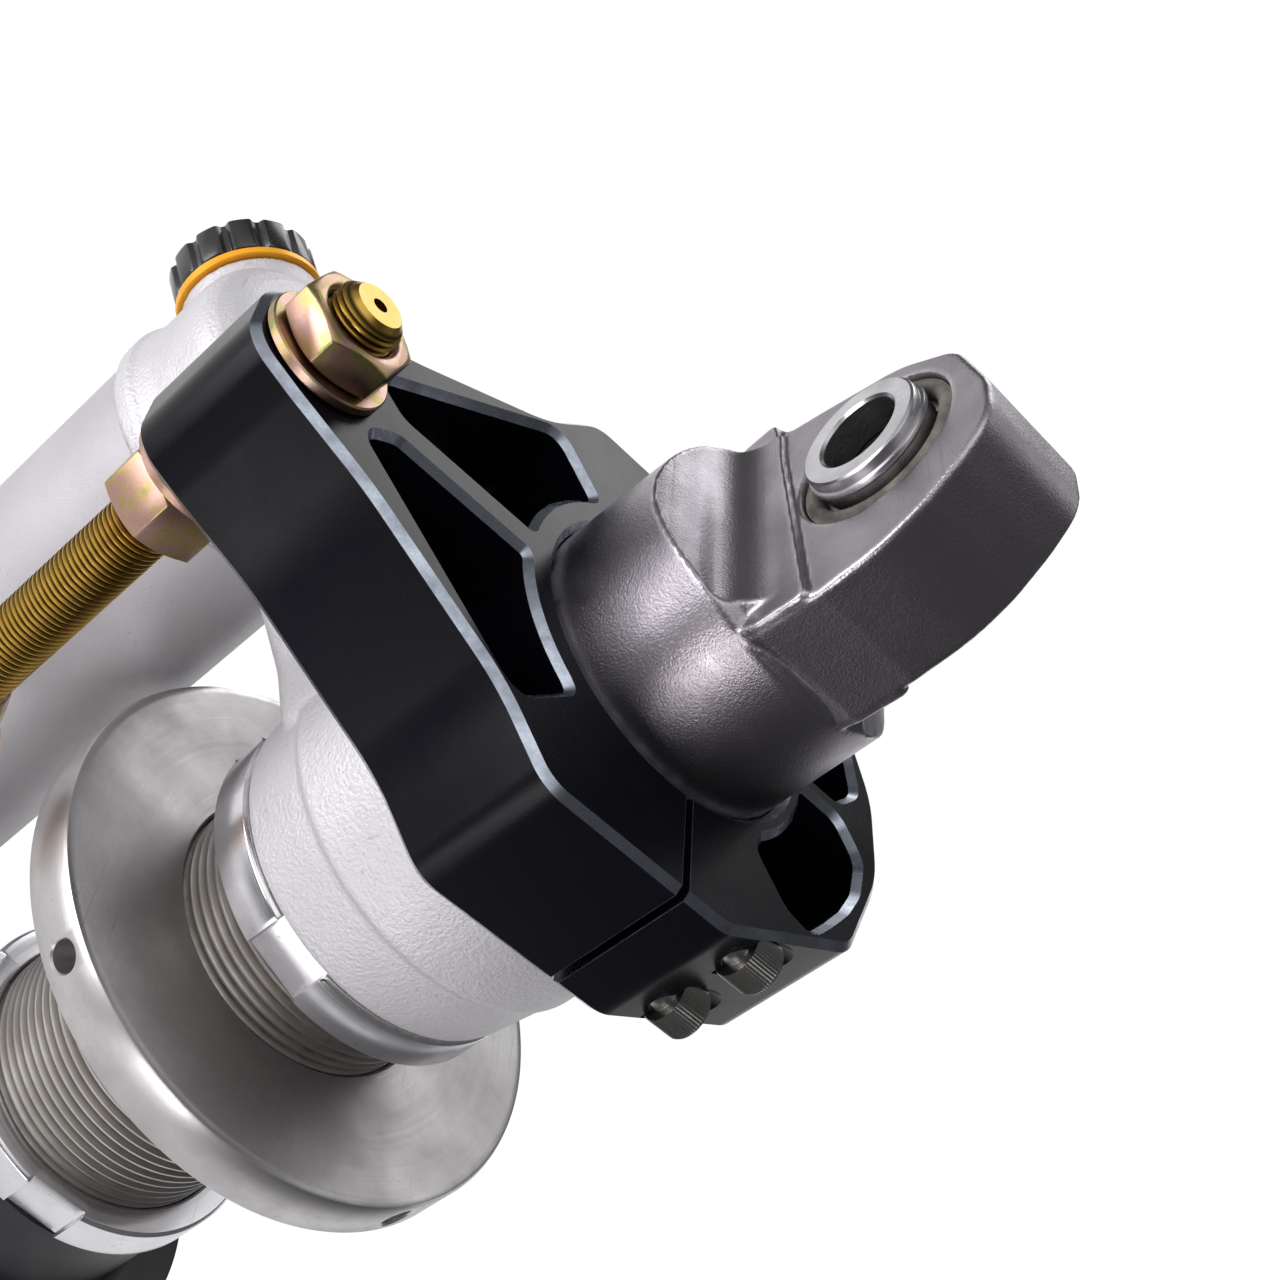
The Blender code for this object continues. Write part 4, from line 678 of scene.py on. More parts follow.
class Bench:
    """The modelling bench: operator steps on one piece at a time."""

    MERGE = 0.000002

    def clear(self) -> None:
        """Deselect everything."""
        bpy.ops.object.select_all(action="DESELECT")

    def hold(self, obj: Piece) -> None:
        """Select one object and make it active."""
        self.clear()
        obj.select_set(True)
        bpy.context.view_layer.objects.active = obj

    def open(self, obj: Piece) -> None:
        """Hold an object and enter edit mode with all of it selected."""
        self.hold(obj)
        bpy.ops.object.mode_set(mode="EDIT")
        bpy.ops.mesh.select_all(action="SELECT")

    def close(self) -> None:
        """Point all faces outwards and leave edit mode."""
        bpy.ops.mesh.select_all(action="SELECT")
        bpy.ops.mesh.normals_make_consistent(inside=False)
        bpy.ops.object.mode_set(mode="OBJECT")

    def modify(self, obj: Piece, kind: str, **settings: object) -> None:
        """Give an object a modifier with its settings, and apply it."""
        self.hold(obj)
        modifier = obj.modifiers.new(kind.lower(), kind)
        for key, value in settings.items():
            setattr(modifier, key, value)
        bpy.ops.object.modifier_apply(modifier=modifier.name)

    def settle(self, obj: Piece, frame: Matrix) -> Piece:
        """Move a piece by a matrix and put its place into its mesh."""
        self.hold(obj)
        obj.matrix_world = frame @ obj.matrix_world
        bpy.ops.object.transform_apply(location=True, rotation=True, scale=True)
        return obj

    @staticmethod
    def frame_at(axis: Axis, place: Point) -> Matrix:
        """Return the matrix that turns Z to an axis at a place."""
        about_x, about_y = axis.value
        turn = Matrix.Rotation(about_x, 4, "X") @ Matrix.Rotation(about_y, 4, "Y")
        return Matrix.Translation(place) @ turn

    def turned(self, name: str, profile: Profile, segments: int = 96, axis: Axis = Axis.Z,
               place: Point = (0, 0, 0)) -> Piece:
        """Turn a piece: a circle is drawn down its profile by extrude and resize.

        Args:
            name: the piece's name.
            profile: (radius, height) pairs; ends on the axis make a solid, others a ring.
            segments: facets round the axis.
            axis: where the piece's own axis points.
            place: the origin of the profile.

        Returns:
            The closed piece.
        """
        self.clear()
        on_axis = 1e-6
        solid = profile[0][0] < on_axis
        rows = [row for row in profile if row[0] > on_axis]
        radius, height = rows[0]
        bpy.ops.mesh.primitive_circle_add(vertices=segments, radius=radius, location=(0, 0, height))
        obj = bpy.context.object
        obj.name = name
        bpy.ops.object.mode_set(mode="EDIT")
        for next_radius, next_height in rows[1:]:
            scale = next_radius / radius
            rise = (0, 0, next_height - height)
            bpy.ops.mesh.extrude_region_move(TRANSFORM_OT_translate={"value": rise})
            bpy.ops.transform.resize(value=(scale, scale, 1.0), center_override=(0, 0, next_height))
            radius, height = next_radius, next_height
        if solid:
            bpy.ops.mesh.select_all(action="SELECT")
            bpy.ops.mesh.fill_holes(sides=0)
        else:
            bpy.ops.mesh.select_all(action="DESELECT")
            bpy.ops.mesh.select_non_manifold()
            bpy.ops.mesh.bridge_edge_loops()
        self.close()
        return self.settle(obj, self.frame_at(axis, place))

    def loop(self, name: str, places: list[Point]) -> Piece:
        """Return a closed loop of edges through a row of places."""
        self.clear()
        bpy.ops.mesh.primitive_circle_add(vertices=len(places), radius=0.01)
        obj = bpy.context.object
        obj.name = name
        for vertex, place in zip(obj.data.vertices, places):
            vertex.co = place
        return obj

    def prism(self, name: str, outline: Profile, low: float, high: float,
              frame: Matrix = Matrix.Identity(4)) -> Piece:
        """Extrude an outline between two heights.

        Args:
            name: the piece's name.
            outline: the outline's points.
            low: where the extrusion starts along its own Z.
            high: where it ends.
            frame: how the outline's plane lies in space.

        Returns:
            The closed piece.
        """
        obj = self.loop(name, [(x, y, low) for x, y in outline])
        self.open(obj)
        bpy.ops.mesh.edge_face_add()
        bpy.ops.mesh.extrude_region_move(TRANSFORM_OT_translate={"value": (0, 0, high - low)})
        self.close()
        return self.settle(obj, frame)

    def combine(self, target: Piece, tool: Piece,
                operation: str = "DIFFERENCE") -> Piece:
        """Apply a Boolean of a tool on a target and throw the tool away.

        Args:
            target: the piece that is shaped.
            tool: the shape that cuts, joins or bounds it.
            operation: DIFFERENCE, UNION or INTERSECT.

        Returns:
            The target.
        """
        self.modify(target, "BOOLEAN", operation=operation, solver="EXACT", object=tool)
        bpy.data.objects.remove(tool, do_unlink=True)
        return target

    def bevel(self, obj: Piece, width: float, segments: int = 2, angle: float = 40.0,
              material: int = -1) -> None:
        """Break the edges that are sharper than an angle.

        Args:
            obj: the piece.
            width: the bevel's width.
            segments: its facets.
            angle: the least angle that counts as an edge, in degrees.
            material: the slot of the bevel's faces, or -1 for their neighbours' own.
        """
        self.modify(obj, "BEVEL", width=width, segments=segments, limit_method="ANGLE",
                    angle_limit=math.radians(angle), material=material, use_clamp_overlap=False,
                    miter_outer="MITER_ARC" if segments > 1 else "MITER_SHARP")

    def skin(self, obj: Piece, voxel: float, smooth: int) -> None:
        """Remesh a joined shape into one even skin of voxel cells, and smooth it."""
        self.modify(obj, "REMESH", mode="VOXEL", voxel_size=voxel)
        self.soften(obj, smooth)

    def soften(self, obj: Piece, passes: int, group: str = "") -> None:
        """Smooth a mesh, all over or where a vertex group says."""
        self.modify(obj, "SMOOTH", factor=0.5, iterations=passes, vertex_group=group)

    def shade(self, obj: Piece, angle: float) -> None:
        """Shade a piece smooth up to an angle, in degrees."""
        self.hold(obj)
        bpy.ops.object.shade_smooth_by_angle(angle=math.radians(angle))

    def copied(self, obj: Piece, name: str, frame: Matrix) -> Piece:
        """Return a copy with its own mesh, moved by a matrix."""
        self.hold(obj)
        bpy.ops.object.duplicate(linked=False)
        twin = bpy.context.object
        twin.name = name
        self.settle(twin, frame)
        if frame.determinant() < 0.0:
            self.open(twin)
            self.close()
        return twin

    def threaded(self, name: str, crest: float, depth: float, pitch: float, span: tuple[float, float],
                 steps: int) -> Piece:
        """Wind a thread about Z, one turn longer than asked at each end.

        Args:
            name: the piece's name.
            crest: radius of the crests.
            depth: depth of the grooves.
            pitch: rise of one turn.
            span: where the useful thread starts and ends.
            steps: facets in a turn.

        Returns:
            The closed, threaded core, to be cut to length.
        """
        low, high = span
        root, near = crest - depth, crest - 0.1 * depth
        rows = [(root, 0.0), (root, 0.1), (near, 0.36), (crest, 0.42), (crest, 0.6), (near, 0.66),
                (root, 0.92), (root, 1.0)]
        obj = self.loop(name, [(radius, 0.0, low - 1.5 * pitch + rise * pitch) for radius, rise in rows])
        self.open(obj)
        bpy.ops.mesh.select_all(action="DESELECT")
        bpy.ops.object.mode_set(mode="OBJECT")
        for edge in obj.data.edges:
            edge.select = set(edge.vertices) == {0, len(rows) - 1}
        bpy.ops.object.mode_set(mode="EDIT")
        bpy.ops.mesh.select_mode(type="EDGE")
        bpy.ops.mesh.delete(type="EDGE_FACE")
        bpy.ops.mesh.select_mode(type="VERT")
        bpy.ops.object.mode_set(mode="OBJECT")
        turns = math.ceil((high - low) / pitch) + 3
        self.modify(obj, "SCREW", axis="Z", screw_offset=pitch, iterations=turns, steps=steps,
                    render_steps=steps, use_merge_vertices=True, merge_threshold=self.MERGE)
        self.open(obj)
        bpy.ops.mesh.remove_doubles(threshold=self.MERGE)
        bpy.ops.mesh.fill_holes(sides=0)
        self.close()
        return obj


class Fitter:
    """Fits a finished piece to the frame: its body, its node, its slot and its finish."""

    def __init__(self, shop: FinishShop, bench: Bench) -> None:
        """Take the shop and the bench that the pieces come from."""
        self.shop = shop
        self.bench = bench

    def fit(self, obj: Piece, slot: str, node: str, finish: Finish,
            datum: Datum = Datum(), body: str = "damper_body", second: Finish | None = None,
            angle: float = 32.0) -> None:
        """Dress a piece and fit it to the frame.

        Args:
            obj: the piece.
            slot: the record's material slot, not used.
            node: the CAD node it stands for, or none.
            finish: its finish.
            datum: the axis of its turning marks.
            body: the body it rides on.
            second: the finish of its second slot, such as bright chamfers that are in part a painted
                highlight.
            angle: the shading angle, in degrees.
        """
        self.bench.shade(obj, angle)
        while len(obj.material_slots) < (2 if second else 1):
            obj.data.materials.append(None)
        obj.material_slots[0].material = self.shop.material(finish, datum)
        if second:
            obj.material_slots[1].material = self.shop.material(second, datum)
        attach(obj, body)
        if node:
            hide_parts(node)
        log.info("%s: %d faces on %s", obj.name, len(obj.data.polygons), body)


@dataclass
class Assembly:
    """A sub-assembly: its sizes are fields, and build models and fits its pieces."""

    bench: Bench
    fitter: Fitter

    def build(self) -> None:
        """Model the pieces and fit them to the frame."""
        raise NotImplementedError


# ---- upper eye head
@dataclass
class EyeHead(Assembly):
    """Round barrel that rises through scooped flanks into the eye plate."""

    barrel_r: float = BODY_R
    rim: float = -0.027
    rim_low: float = -0.027 - 0.0004
    ridge: float = -0.0186
    foot: float = -0.0326
    plate_half: float = EYE_PLATE_HALF
    plate_top: float = 0.0227
    plate_edge: float = 0.0007
    lean: float = 0.0045
    proud: float = 0.0012
    shoulder_half: float = 0.0294
    shoulder_edge: float = 0.0005
    scoop_reach: float = 0.0075
    scoop_low: float = 0.0044
    crown_hole_r: float = 0.0016
    crown_hole_depth: float = 0.0045
    bore_r: float = EYE_BORE_R
    bore_half: float = 0.05
    seam: float = CLAMP_TOP - 0.004
    slack: float = 0.0002
    spigot_r: float = 0.024
    spigot_end: float = -0.104
    voxel: float = 0.00048

    def flank(self, sign: int) -> Piece:
        """Return the cutter of one scooped flank."""
        reach, top = self.barrel_r + 0.002, self.plate_top + PAST
        shelf = [(reach, self.foot - 0.001)] + [(x, self.foot + rise) for x, rise in (
            (0.0302, 0.0002), (0.0283, 0.0013), (0.0262, 0.0023), (0.024, 0.0031), (0.0222, 0.0037))]
        drop = self.ridge - self.foot - self.scoop_low
        angles = [math.radians(angle) for angle in range(4, 91, 2)]
        scoop = [(self.plate_half + self.proud + self.scoop_reach * (1 - math.sin(angle)),
                  self.ridge - 0.0004 - drop * math.cos(angle)) for angle in angles]
        wall = self.plate_half + 0.0004
        line = shelf + scoop + [(wall, self.ridge + 0.0012), (wall, top), (reach, top)]
        return self.bench.prism("flank", [(sign * x, z) for x, z in line], -0.06, 0.06, SIDEWAYS)

    def plate(self) -> Piece:
        """Return the eye plate, which leans to -Y."""
        ridge, rim, side, top = self.ridge, self.rim_low, self.shoulder_half, self.plate_top
        outline = Outline.rounded([
            (-self.lean, top, 0.012), (0.0108, top - 0.0046, 0.01), (0.019, 0.0068, 0.02),
            (0.0238, -0.0105, 0.02), (0.0256, ridge + 0.0008, 0.004), (side - 0.001, ridge - 0.001, 0.002),
            (side - 0.0008, rim + 0.0006, 0.002), (0.0265, rim - 0.005, 0.0), (0.02, rim - 0.01, 0.0),
            (-0.02, rim - 0.01, 0.0), (-0.0265, rim - 0.005, 0.0), (-side + 0.0008, rim + 0.002, 0.002),
            (-side, ridge + 0.0062, 0.0015), (-0.0288, -0.0004, 0.03), (-0.0259, 0.0076, 0.02),
            (-0.0212, 0.015, 0.02), (-0.0148, top - 0.0004, 0.011)])
        plate = self.bench.prism("plate", outline, -self.plate_half, self.plate_half, UPRIGHT)
        self.bench.bevel(plate, self.plate_edge, 2, 60.0)
        return plate

    def shoulder(self) -> Piece:
        """Return the block that stands a little proud under the plate."""
        ridge, rim, side = self.ridge, self.rim_low, self.shoulder_half
        outline = Outline.rounded([
            (side - 0.0002, ridge - 0.0012, 0.0015), (side - 0.001, rim + 0.0006, 0.002),
            (0.0262, rim - 0.0042, 0.0), (-0.0262, rim - 0.0042, 0.0),
            (-side + 0.001, rim + 0.0024, 0.002), (-side + 0.0002, ridge + 0.0042, 0.0015)], 6)
        low, high = -self.plate_half - self.proud, self.plate_half + self.proud
        block = self.bench.prism("shoulder", outline, low, high, UPRIGHT)
        self.bench.bevel(block, self.shoulder_edge, 2, 60.0)
        return block

    def build(self) -> None:
        """Model the head and the barrel inside the clamp."""
        bench, r, rim = self.bench, self.barrel_r, self.rim_low
        head = bench.turned("upper_eye_skin", [
            (0, self.ridge), (r - 0.003, self.ridge), (r - 0.0022, self.rim + 0.0008),
            (r - 0.001, rim), (r - 0.0002, self.rim - 0.0014), (r, self.rim - 0.0024),
            (r, self.seam), (0, self.seam)], 160)
        for sign in (1, -1):
            bench.combine(head, self.flank(sign))
        bench.combine(head, self.plate(), "UNION")
        bench.combine(head, self.shoulder(), "UNION")
        bore = Outline.rod(self.bore_r, self.bore_half, -self.bore_half)
        bench.combine(head, bench.turned("bore", bore, 128, Axis.X))
        hole = Outline.rod(self.crown_hole_r, 0.04, self.plate_top - self.crown_hole_depth)
        bench.combine(head, bench.turned("crown_hole", hole, 32))
        bench.skin(head, self.voxel, 2)
        self.fitter.fit(head, "gunmetal_head", "upper_eye_head", Finishes.HEAD_STEEL, angle=50.0)
        inner = r - self.slack
        barrel = bench.turned("upper_eye_barrel", [
            (0, self.seam), (inner, self.seam), (inner, CLAMP_LOW), (self.spigot_r, CLAMP_LOW - 0.0004),
            (self.spigot_r, self.spigot_end), (0, self.spigot_end)])
        self.fitter.fit(barrel, "gunmetal_head", "", Finishes.HEAD_STEEL)


@dataclass
class EyeBearing(Assembly):
    """Spherical bearing of each eye: race, ball, lip seals and spacers."""

    bore_r: float = 0.0155
    ball_r: float = 0.0137
    ball_gap: float = 0.0004
    race_half: float = 0.0085
    race_edge: float = 0.0003
    ball_half: float = 0.0095
    pin_r: float = 0.0075
    face: float = 0.01155
    lip_r: float = 0.0126
    spacer_r: float = 0.0116
    collar_r: float = 0.0122
    collar: float = 0.01285
    reach: float = 0.016

    def race(self) -> Piece:
        """Return the race, hollowed for the ball."""
        r, half, edge = self.bore_r, self.race_half, self.race_edge
        hollow = Outline.ball(self.ball_r + self.ball_gap, half)
        profile = [(r, half - edge), (r, -half), *reversed(hollow), (r - edge, half)]
        return self.bench.turned("upper_race_ring", profile, 96, Axis.X)

    def ball(self) -> Piece:
        """Return the ball, bored for the pin."""
        profile = Outline.ball(self.ball_r, self.ball_half)
        profile += [(self.pin_r, -self.ball_half), (self.pin_r, self.ball_half)]
        return self.bench.turned("upper_ball_polished", profile, 96, Axis.X)

    def seal(self) -> Piece:
        """Return the right-hand seal with its bulged face."""
        low, high, lip, r = self.race_half + GAP, self.face, self.lip_r, self.bore_r
        return self.bench.turned("upper_seal_rubber_right", [
            (r, high - 0.0009), (r, low), (lip, low), (lip, high - 0.0012), (lip + 0.0002, high - 0.0006),
            (lip + 0.0005, high - 0.0002), (lip + 0.001, high), (lip + 0.0016, high - 0.0001),
            (lip + 0.002, high - 0.0004), (r - 0.0004, high - 0.0008)], 128, Axis.X)

    def spacer(self) -> Piece:
        """Return the right-hand spacer with its collar."""
        r, end, foot, pin = self.spacer_r, self.reach, self.ball_half + GAP, self.pin_r
        wide, rise = self.collar_r, self.collar
        return self.bench.turned("upper_spacer_ground_right", [
            (pin + 0.0005, end), (r - 0.0005, end), (r - 0.0001, end - 0.0003), (r, end - 0.0006),
            (r, rise + 0.0012), (wide - 0.0001, rise + 0.001), (wide, rise + 0.0007),
            (wide, rise + 0.0001), (wide - 0.0002, rise), (r, rise - 0.0004), (r, foot), (pin, foot),
            (pin, end - 0.0005)], 128, Axis.X)

    def build(self) -> None:
        """Model the upper bearing, and copy it to the lower eye."""
        copied = self.bench.copied
        upper = {"race": self.race(), "ball": self.ball(), "seal_right": self.seal(),
                 "spacer_right": self.spacer()}
        flip = Matrix.Diagonal((-1.0, 1.0, 1.0, 1.0))
        for part in ("seal", "spacer"):
            right = upper[part + "_right"]
            upper[part + "_left"] = copied(right, right.name.replace("right", "left"), flip)
        down = Matrix.Translation((0, 0, LOW_EYE))
        lower = {part: copied(obj, obj.name.replace("upper", "lower"), down) for part, obj in upper.items()}
        looks = {"race": ("bearing_steel", Finishes.DARK_STEEL), "seal": ("seal_rubber", Finishes.RUBBER),
                 "ball": ("bearing_chrome", Finishes.DARK_STEEL), "spacer": ("spacer_steel", Finishes.SPACER)}
        eyes = (("upper", upper, "damper_body", 0.0), ("lower", lower, "lower_shaft", LOW_EYE))
        for level, pieces, home, z in eyes:
            bodies = {"race": home, "seal": home, "ball": level + "_ball", "spacer": level + "_spacers"}
            datum = Datum(level + "_pin", (0, 0, z), (0.0, QUARTER, 0.0))
            for part, obj in pieces.items():
                kind = part.split("_")[0]
                slot, finish = looks[kind]
                self.fitter.fit(obj, slot, f"{level}_{part}", finish, datum, bodies[kind])


# ---- clamp
@dataclass
class ClampPair(Assembly):
    """Split clamp on the barrel: the arm half, the cap half and four screws."""

    top: float = CLAMP_TOP
    thickness: float = 0.0305
    chamfer: float = 0.00135
    half: float = 0.0543
    gap: float = 0.0017
    split: float = 0.0046
    spare: float = 0.003
    seat_r: float = BODY_SEAT_R
    wall: float = 0.0066
    web: float = 0.0038
    arm_reach: float = 0.0965
    arm_end: float = 0.009
    neck: tuple[float, float] = (0.069, 0.0213)
    waist: tuple[float, float] = (0.0375, 0.0405)
    pocket: tuple[float, float] = (0.0722, 0.0088)
    floor: float = 0.003
    nose: tuple[float, float] = (0.0556, 0.011)
    flank: tuple[float, float] = (0.0465, 0.035)
    cap_wall: float = 0.0042
    cap_web: float = 0.0025
    cap_pocket_r: float = 0.0516
    cap_pocket_reach: float = 0.0496
    rod_x: float = 0.0834
    rod_hole_r: float = 0.00665
    screw_y: float = 0.047
    screw_pitch: float = 0.0163
    screw_seat: float = 0.024
    screw_turn: float = 0.4
    head_r: float = 0.0051
    head_h: float = 0.0066
    socket_r: float = 0.0029
    socket_start: float = 0.45
    knurl: float = 0.955
    shank_r: float = 0.003
    shank_end: float = -0.018
    room: float = 0.0008
    teeth: int = 54

    def outlines(self) -> dict[str, Profile]:
        """Return the outlines of the two halves and of one pocket in each.

        The halves run past the split by the spare, which is trimmed off after their edges are broken.
        """
        arm_edge = self.split - self.gap / 2 + self.spare
        cap_edge = self.split + self.gap / 2 - self.spare
        arm = [(-self.arm_reach, self.arm_end, 0.0095),
               (-self.arm_reach + 0.0105, self.arm_end + 0.0052, 0.03),
               (-self.neck[0], self.neck[1], 0.06), (-self.waist[0], self.waist[1], 0.04),
               (-self.waist[0] + 0.012, self.half, 0.009), (arm_edge, self.half, 0.0)]
        cap = [(cap_edge, self.half, 0.0), (cap_edge + self.spare + 0.0098, self.half, 0.008),
               (*self.flank, 0.01), (*self.nose, 0.03)]
        ring, cap_r = self.seat_r + self.wall, self.seat_r + self.cap_wall
        arm_pocket = [
            (-ring * 0.995, self.web, 0.002), (-self.pocket[0] + 0.0062, self.web, 0.0042),
            (-self.pocket[0], self.pocket[1], 0.0028), (-ring * 0.916, ring * 1.079, 0.0042),
            (-ring * 0.64, ring * 0.786, 0.0024), *Outline.arc(ring, 130, 174, 16)[1:-1]]
        reach, web = self.cap_pocket_r, self.cap_web
        cap_pocket = [
            (cap_r * 0.995, web, 0.004), (self.cap_pocket_reach - 0.0056, web, 0.005),
            (self.cap_pocket_reach, web + 0.007, 0.006),
            *((x, y, 0.012) for x, y, _ in Outline.arc(reach, 22, 39, 2)),
            (reach * 0.682, reach * 0.752, 0.0035), (cap_r * 0.855, cap_r * 1.087, 0.004),
            (cap_r * 0.643, cap_r * 0.855, 0.003), *Outline.arc(cap_r, 49, 6, 16)[1:-1]]
        return {"arm": Outline.rounded(Outline.mirrored(arm), 14),
                "cap": Outline.rounded(Outline.mirrored(cap), 14),
                "arm_pocket": Outline.rounded(arm_pocket, 10), "cap_pocket": Outline.rounded(cap_pocket, 10)}

    def screw_levels(self) -> list[Point]:
        """Return the four screws' axes as (0, y, z)."""
        middle = self.top - self.thickness / 2
        return [(0, side * self.screw_y, middle + level * self.screw_pitch)
                for side in (1, -1) for level in (0.5, -0.5)]

    def half_of(self, name: str, outline: Profile, pocket: Profile, side: int) -> Piece:
        """Return one half with its pockets, its seat and bright chamfers in its second slot, the chamfers in
        part a painted highlight.

        Args:
            name: the piece's name.
            outline: the half's outline.
            pocket: the outline of its pocket at +Y.
            side: -1 for the arm half, 1 for the cap half.

        Returns:
            The half before its screw holes.
        """
        bench, low = self.bench, self.top - self.thickness
        above, below = self.top + PAST, low - PAST
        piece = bench.prism(name, outline, low, self.top)
        for sign in (1, -1):
            tool = bench.prism("pocket", [(x, sign * y) for x, y in pocket], low + self.floor, above)
            bench.combine(piece, tool)
        bench.combine(piece, bench.turned("seat", Outline.rod(self.seat_r, above, below), 192))
        if side < 0:
            hole = Outline.rod(self.rod_hole_r, above, below)
            bench.combine(piece, bench.turned("rod_hole", hole, 64, place=(-self.rod_x, 0.0, 0.0)))
        for _ in range(2):
            piece.data.materials.append(None)
        # The chamfers take slot 1, bright metal that is in part a painted highlight.
        bench.bevel(piece, self.chamfer, 1, 55.0, 1)
        near, far, wide = self.split + side * self.gap / 2, self.split - side * 0.02, 0.08
        trim = [(near, -wide), (far, -wide), (far, wide), (near, wide)]
        return bench.combine(piece, bench.prism("split_trim", trim, below, above))

    def screw(self) -> Piece:
        """Return one knurled socket screw along X, its axis on the frame's X axis."""
        bench, r = self.bench, self.head_r
        base = self.screw_seat + GAP
        face = base + self.head_h
        screw = bench.turned("clamp_screw_master", [
            (0, face), (r - 0.0009, face), (r - 0.0004, face - 0.0002), (r, face - 0.0008), (r, base),
            (self.shank_r, base), (self.shank_r, self.shank_end), (0, self.shank_end)],
            2 * self.teeth, Axis.X)
        column = math.pi / self.teeth
        for vertex in screw.data.vertices:
            radius = math.hypot(vertex.co.y, vertex.co.z)
            place = round(math.atan2(vertex.co.z, vertex.co.y) / column)
            vertex.select = radius > r - 0.0001 and place % 2 == 0
        for part in (*screw.data.edges, *screw.data.polygons):
            part.select = False
        bench.hold(screw)
        bpy.ops.object.mode_set(mode="EDIT")
        bpy.ops.transform.resize(value=(1.0, self.knurl, self.knurl), center_override=(0, 0, 0))
        bpy.ops.object.mode_set(mode="OBJECT")
        start = base + self.socket_start * self.head_h
        along = bench.frame_at(Axis.X, (0, 0, 0))
        socket = bench.prism("socket", Outline.hexagon(self.socket_r, 30.0), start, face + 0.001, along)
        return bench.combine(screw, socket)

    def build(self) -> None:
        """Model the two halves, then one screw and its copies."""
        bench, fitter, lines = self.bench, self.fitter, self.outlines()
        arm = self.half_of("clamp_arm_half", lines["arm"], lines["arm_pocket"], -1)
        cap = self.half_of("clamp_cap_half", lines["cap"], lines["cap_pocket"], 1)
        hole = Outline.rod(self.shank_r + GAP, self.screw_seat + 0.001, self.shank_end - GAP)
        bore = Outline.rod(self.head_r + self.room, 0.07, self.screw_seat)
        for place in self.screw_levels():
            for piece in (arm, cap):
                bench.combine(piece, bench.turned("hole", hole, 32, Axis.X, place))
            bench.combine(cap, bench.turned("bore", bore, 64, Axis.X, place))
        for piece, node in ((arm, "clamp_arm"), (cap, "clamp_cap")):
            fitter.fit(piece, "black_anodised", node, Finishes.BLACK_ANODISED,
                       second=Finishes.BRIGHT_CUT, angle=25.0)
        master = self.screw()
        for number, place in enumerate(self.screw_levels(), 1):
            spot = Matrix.Translation(place) @ Matrix.Rotation(self.screw_turn * number, 4, "X")
            screw = bench.copied(master, f"clamp_screw_cap_{number}", spot)
            node = f"clamp_screw_{number}"
            fitter.fit(screw, "screw_steel", node, Finishes.DARK_STEEL, angle=25.0)
        bpy.data.objects.remove(master, do_unlink=True)


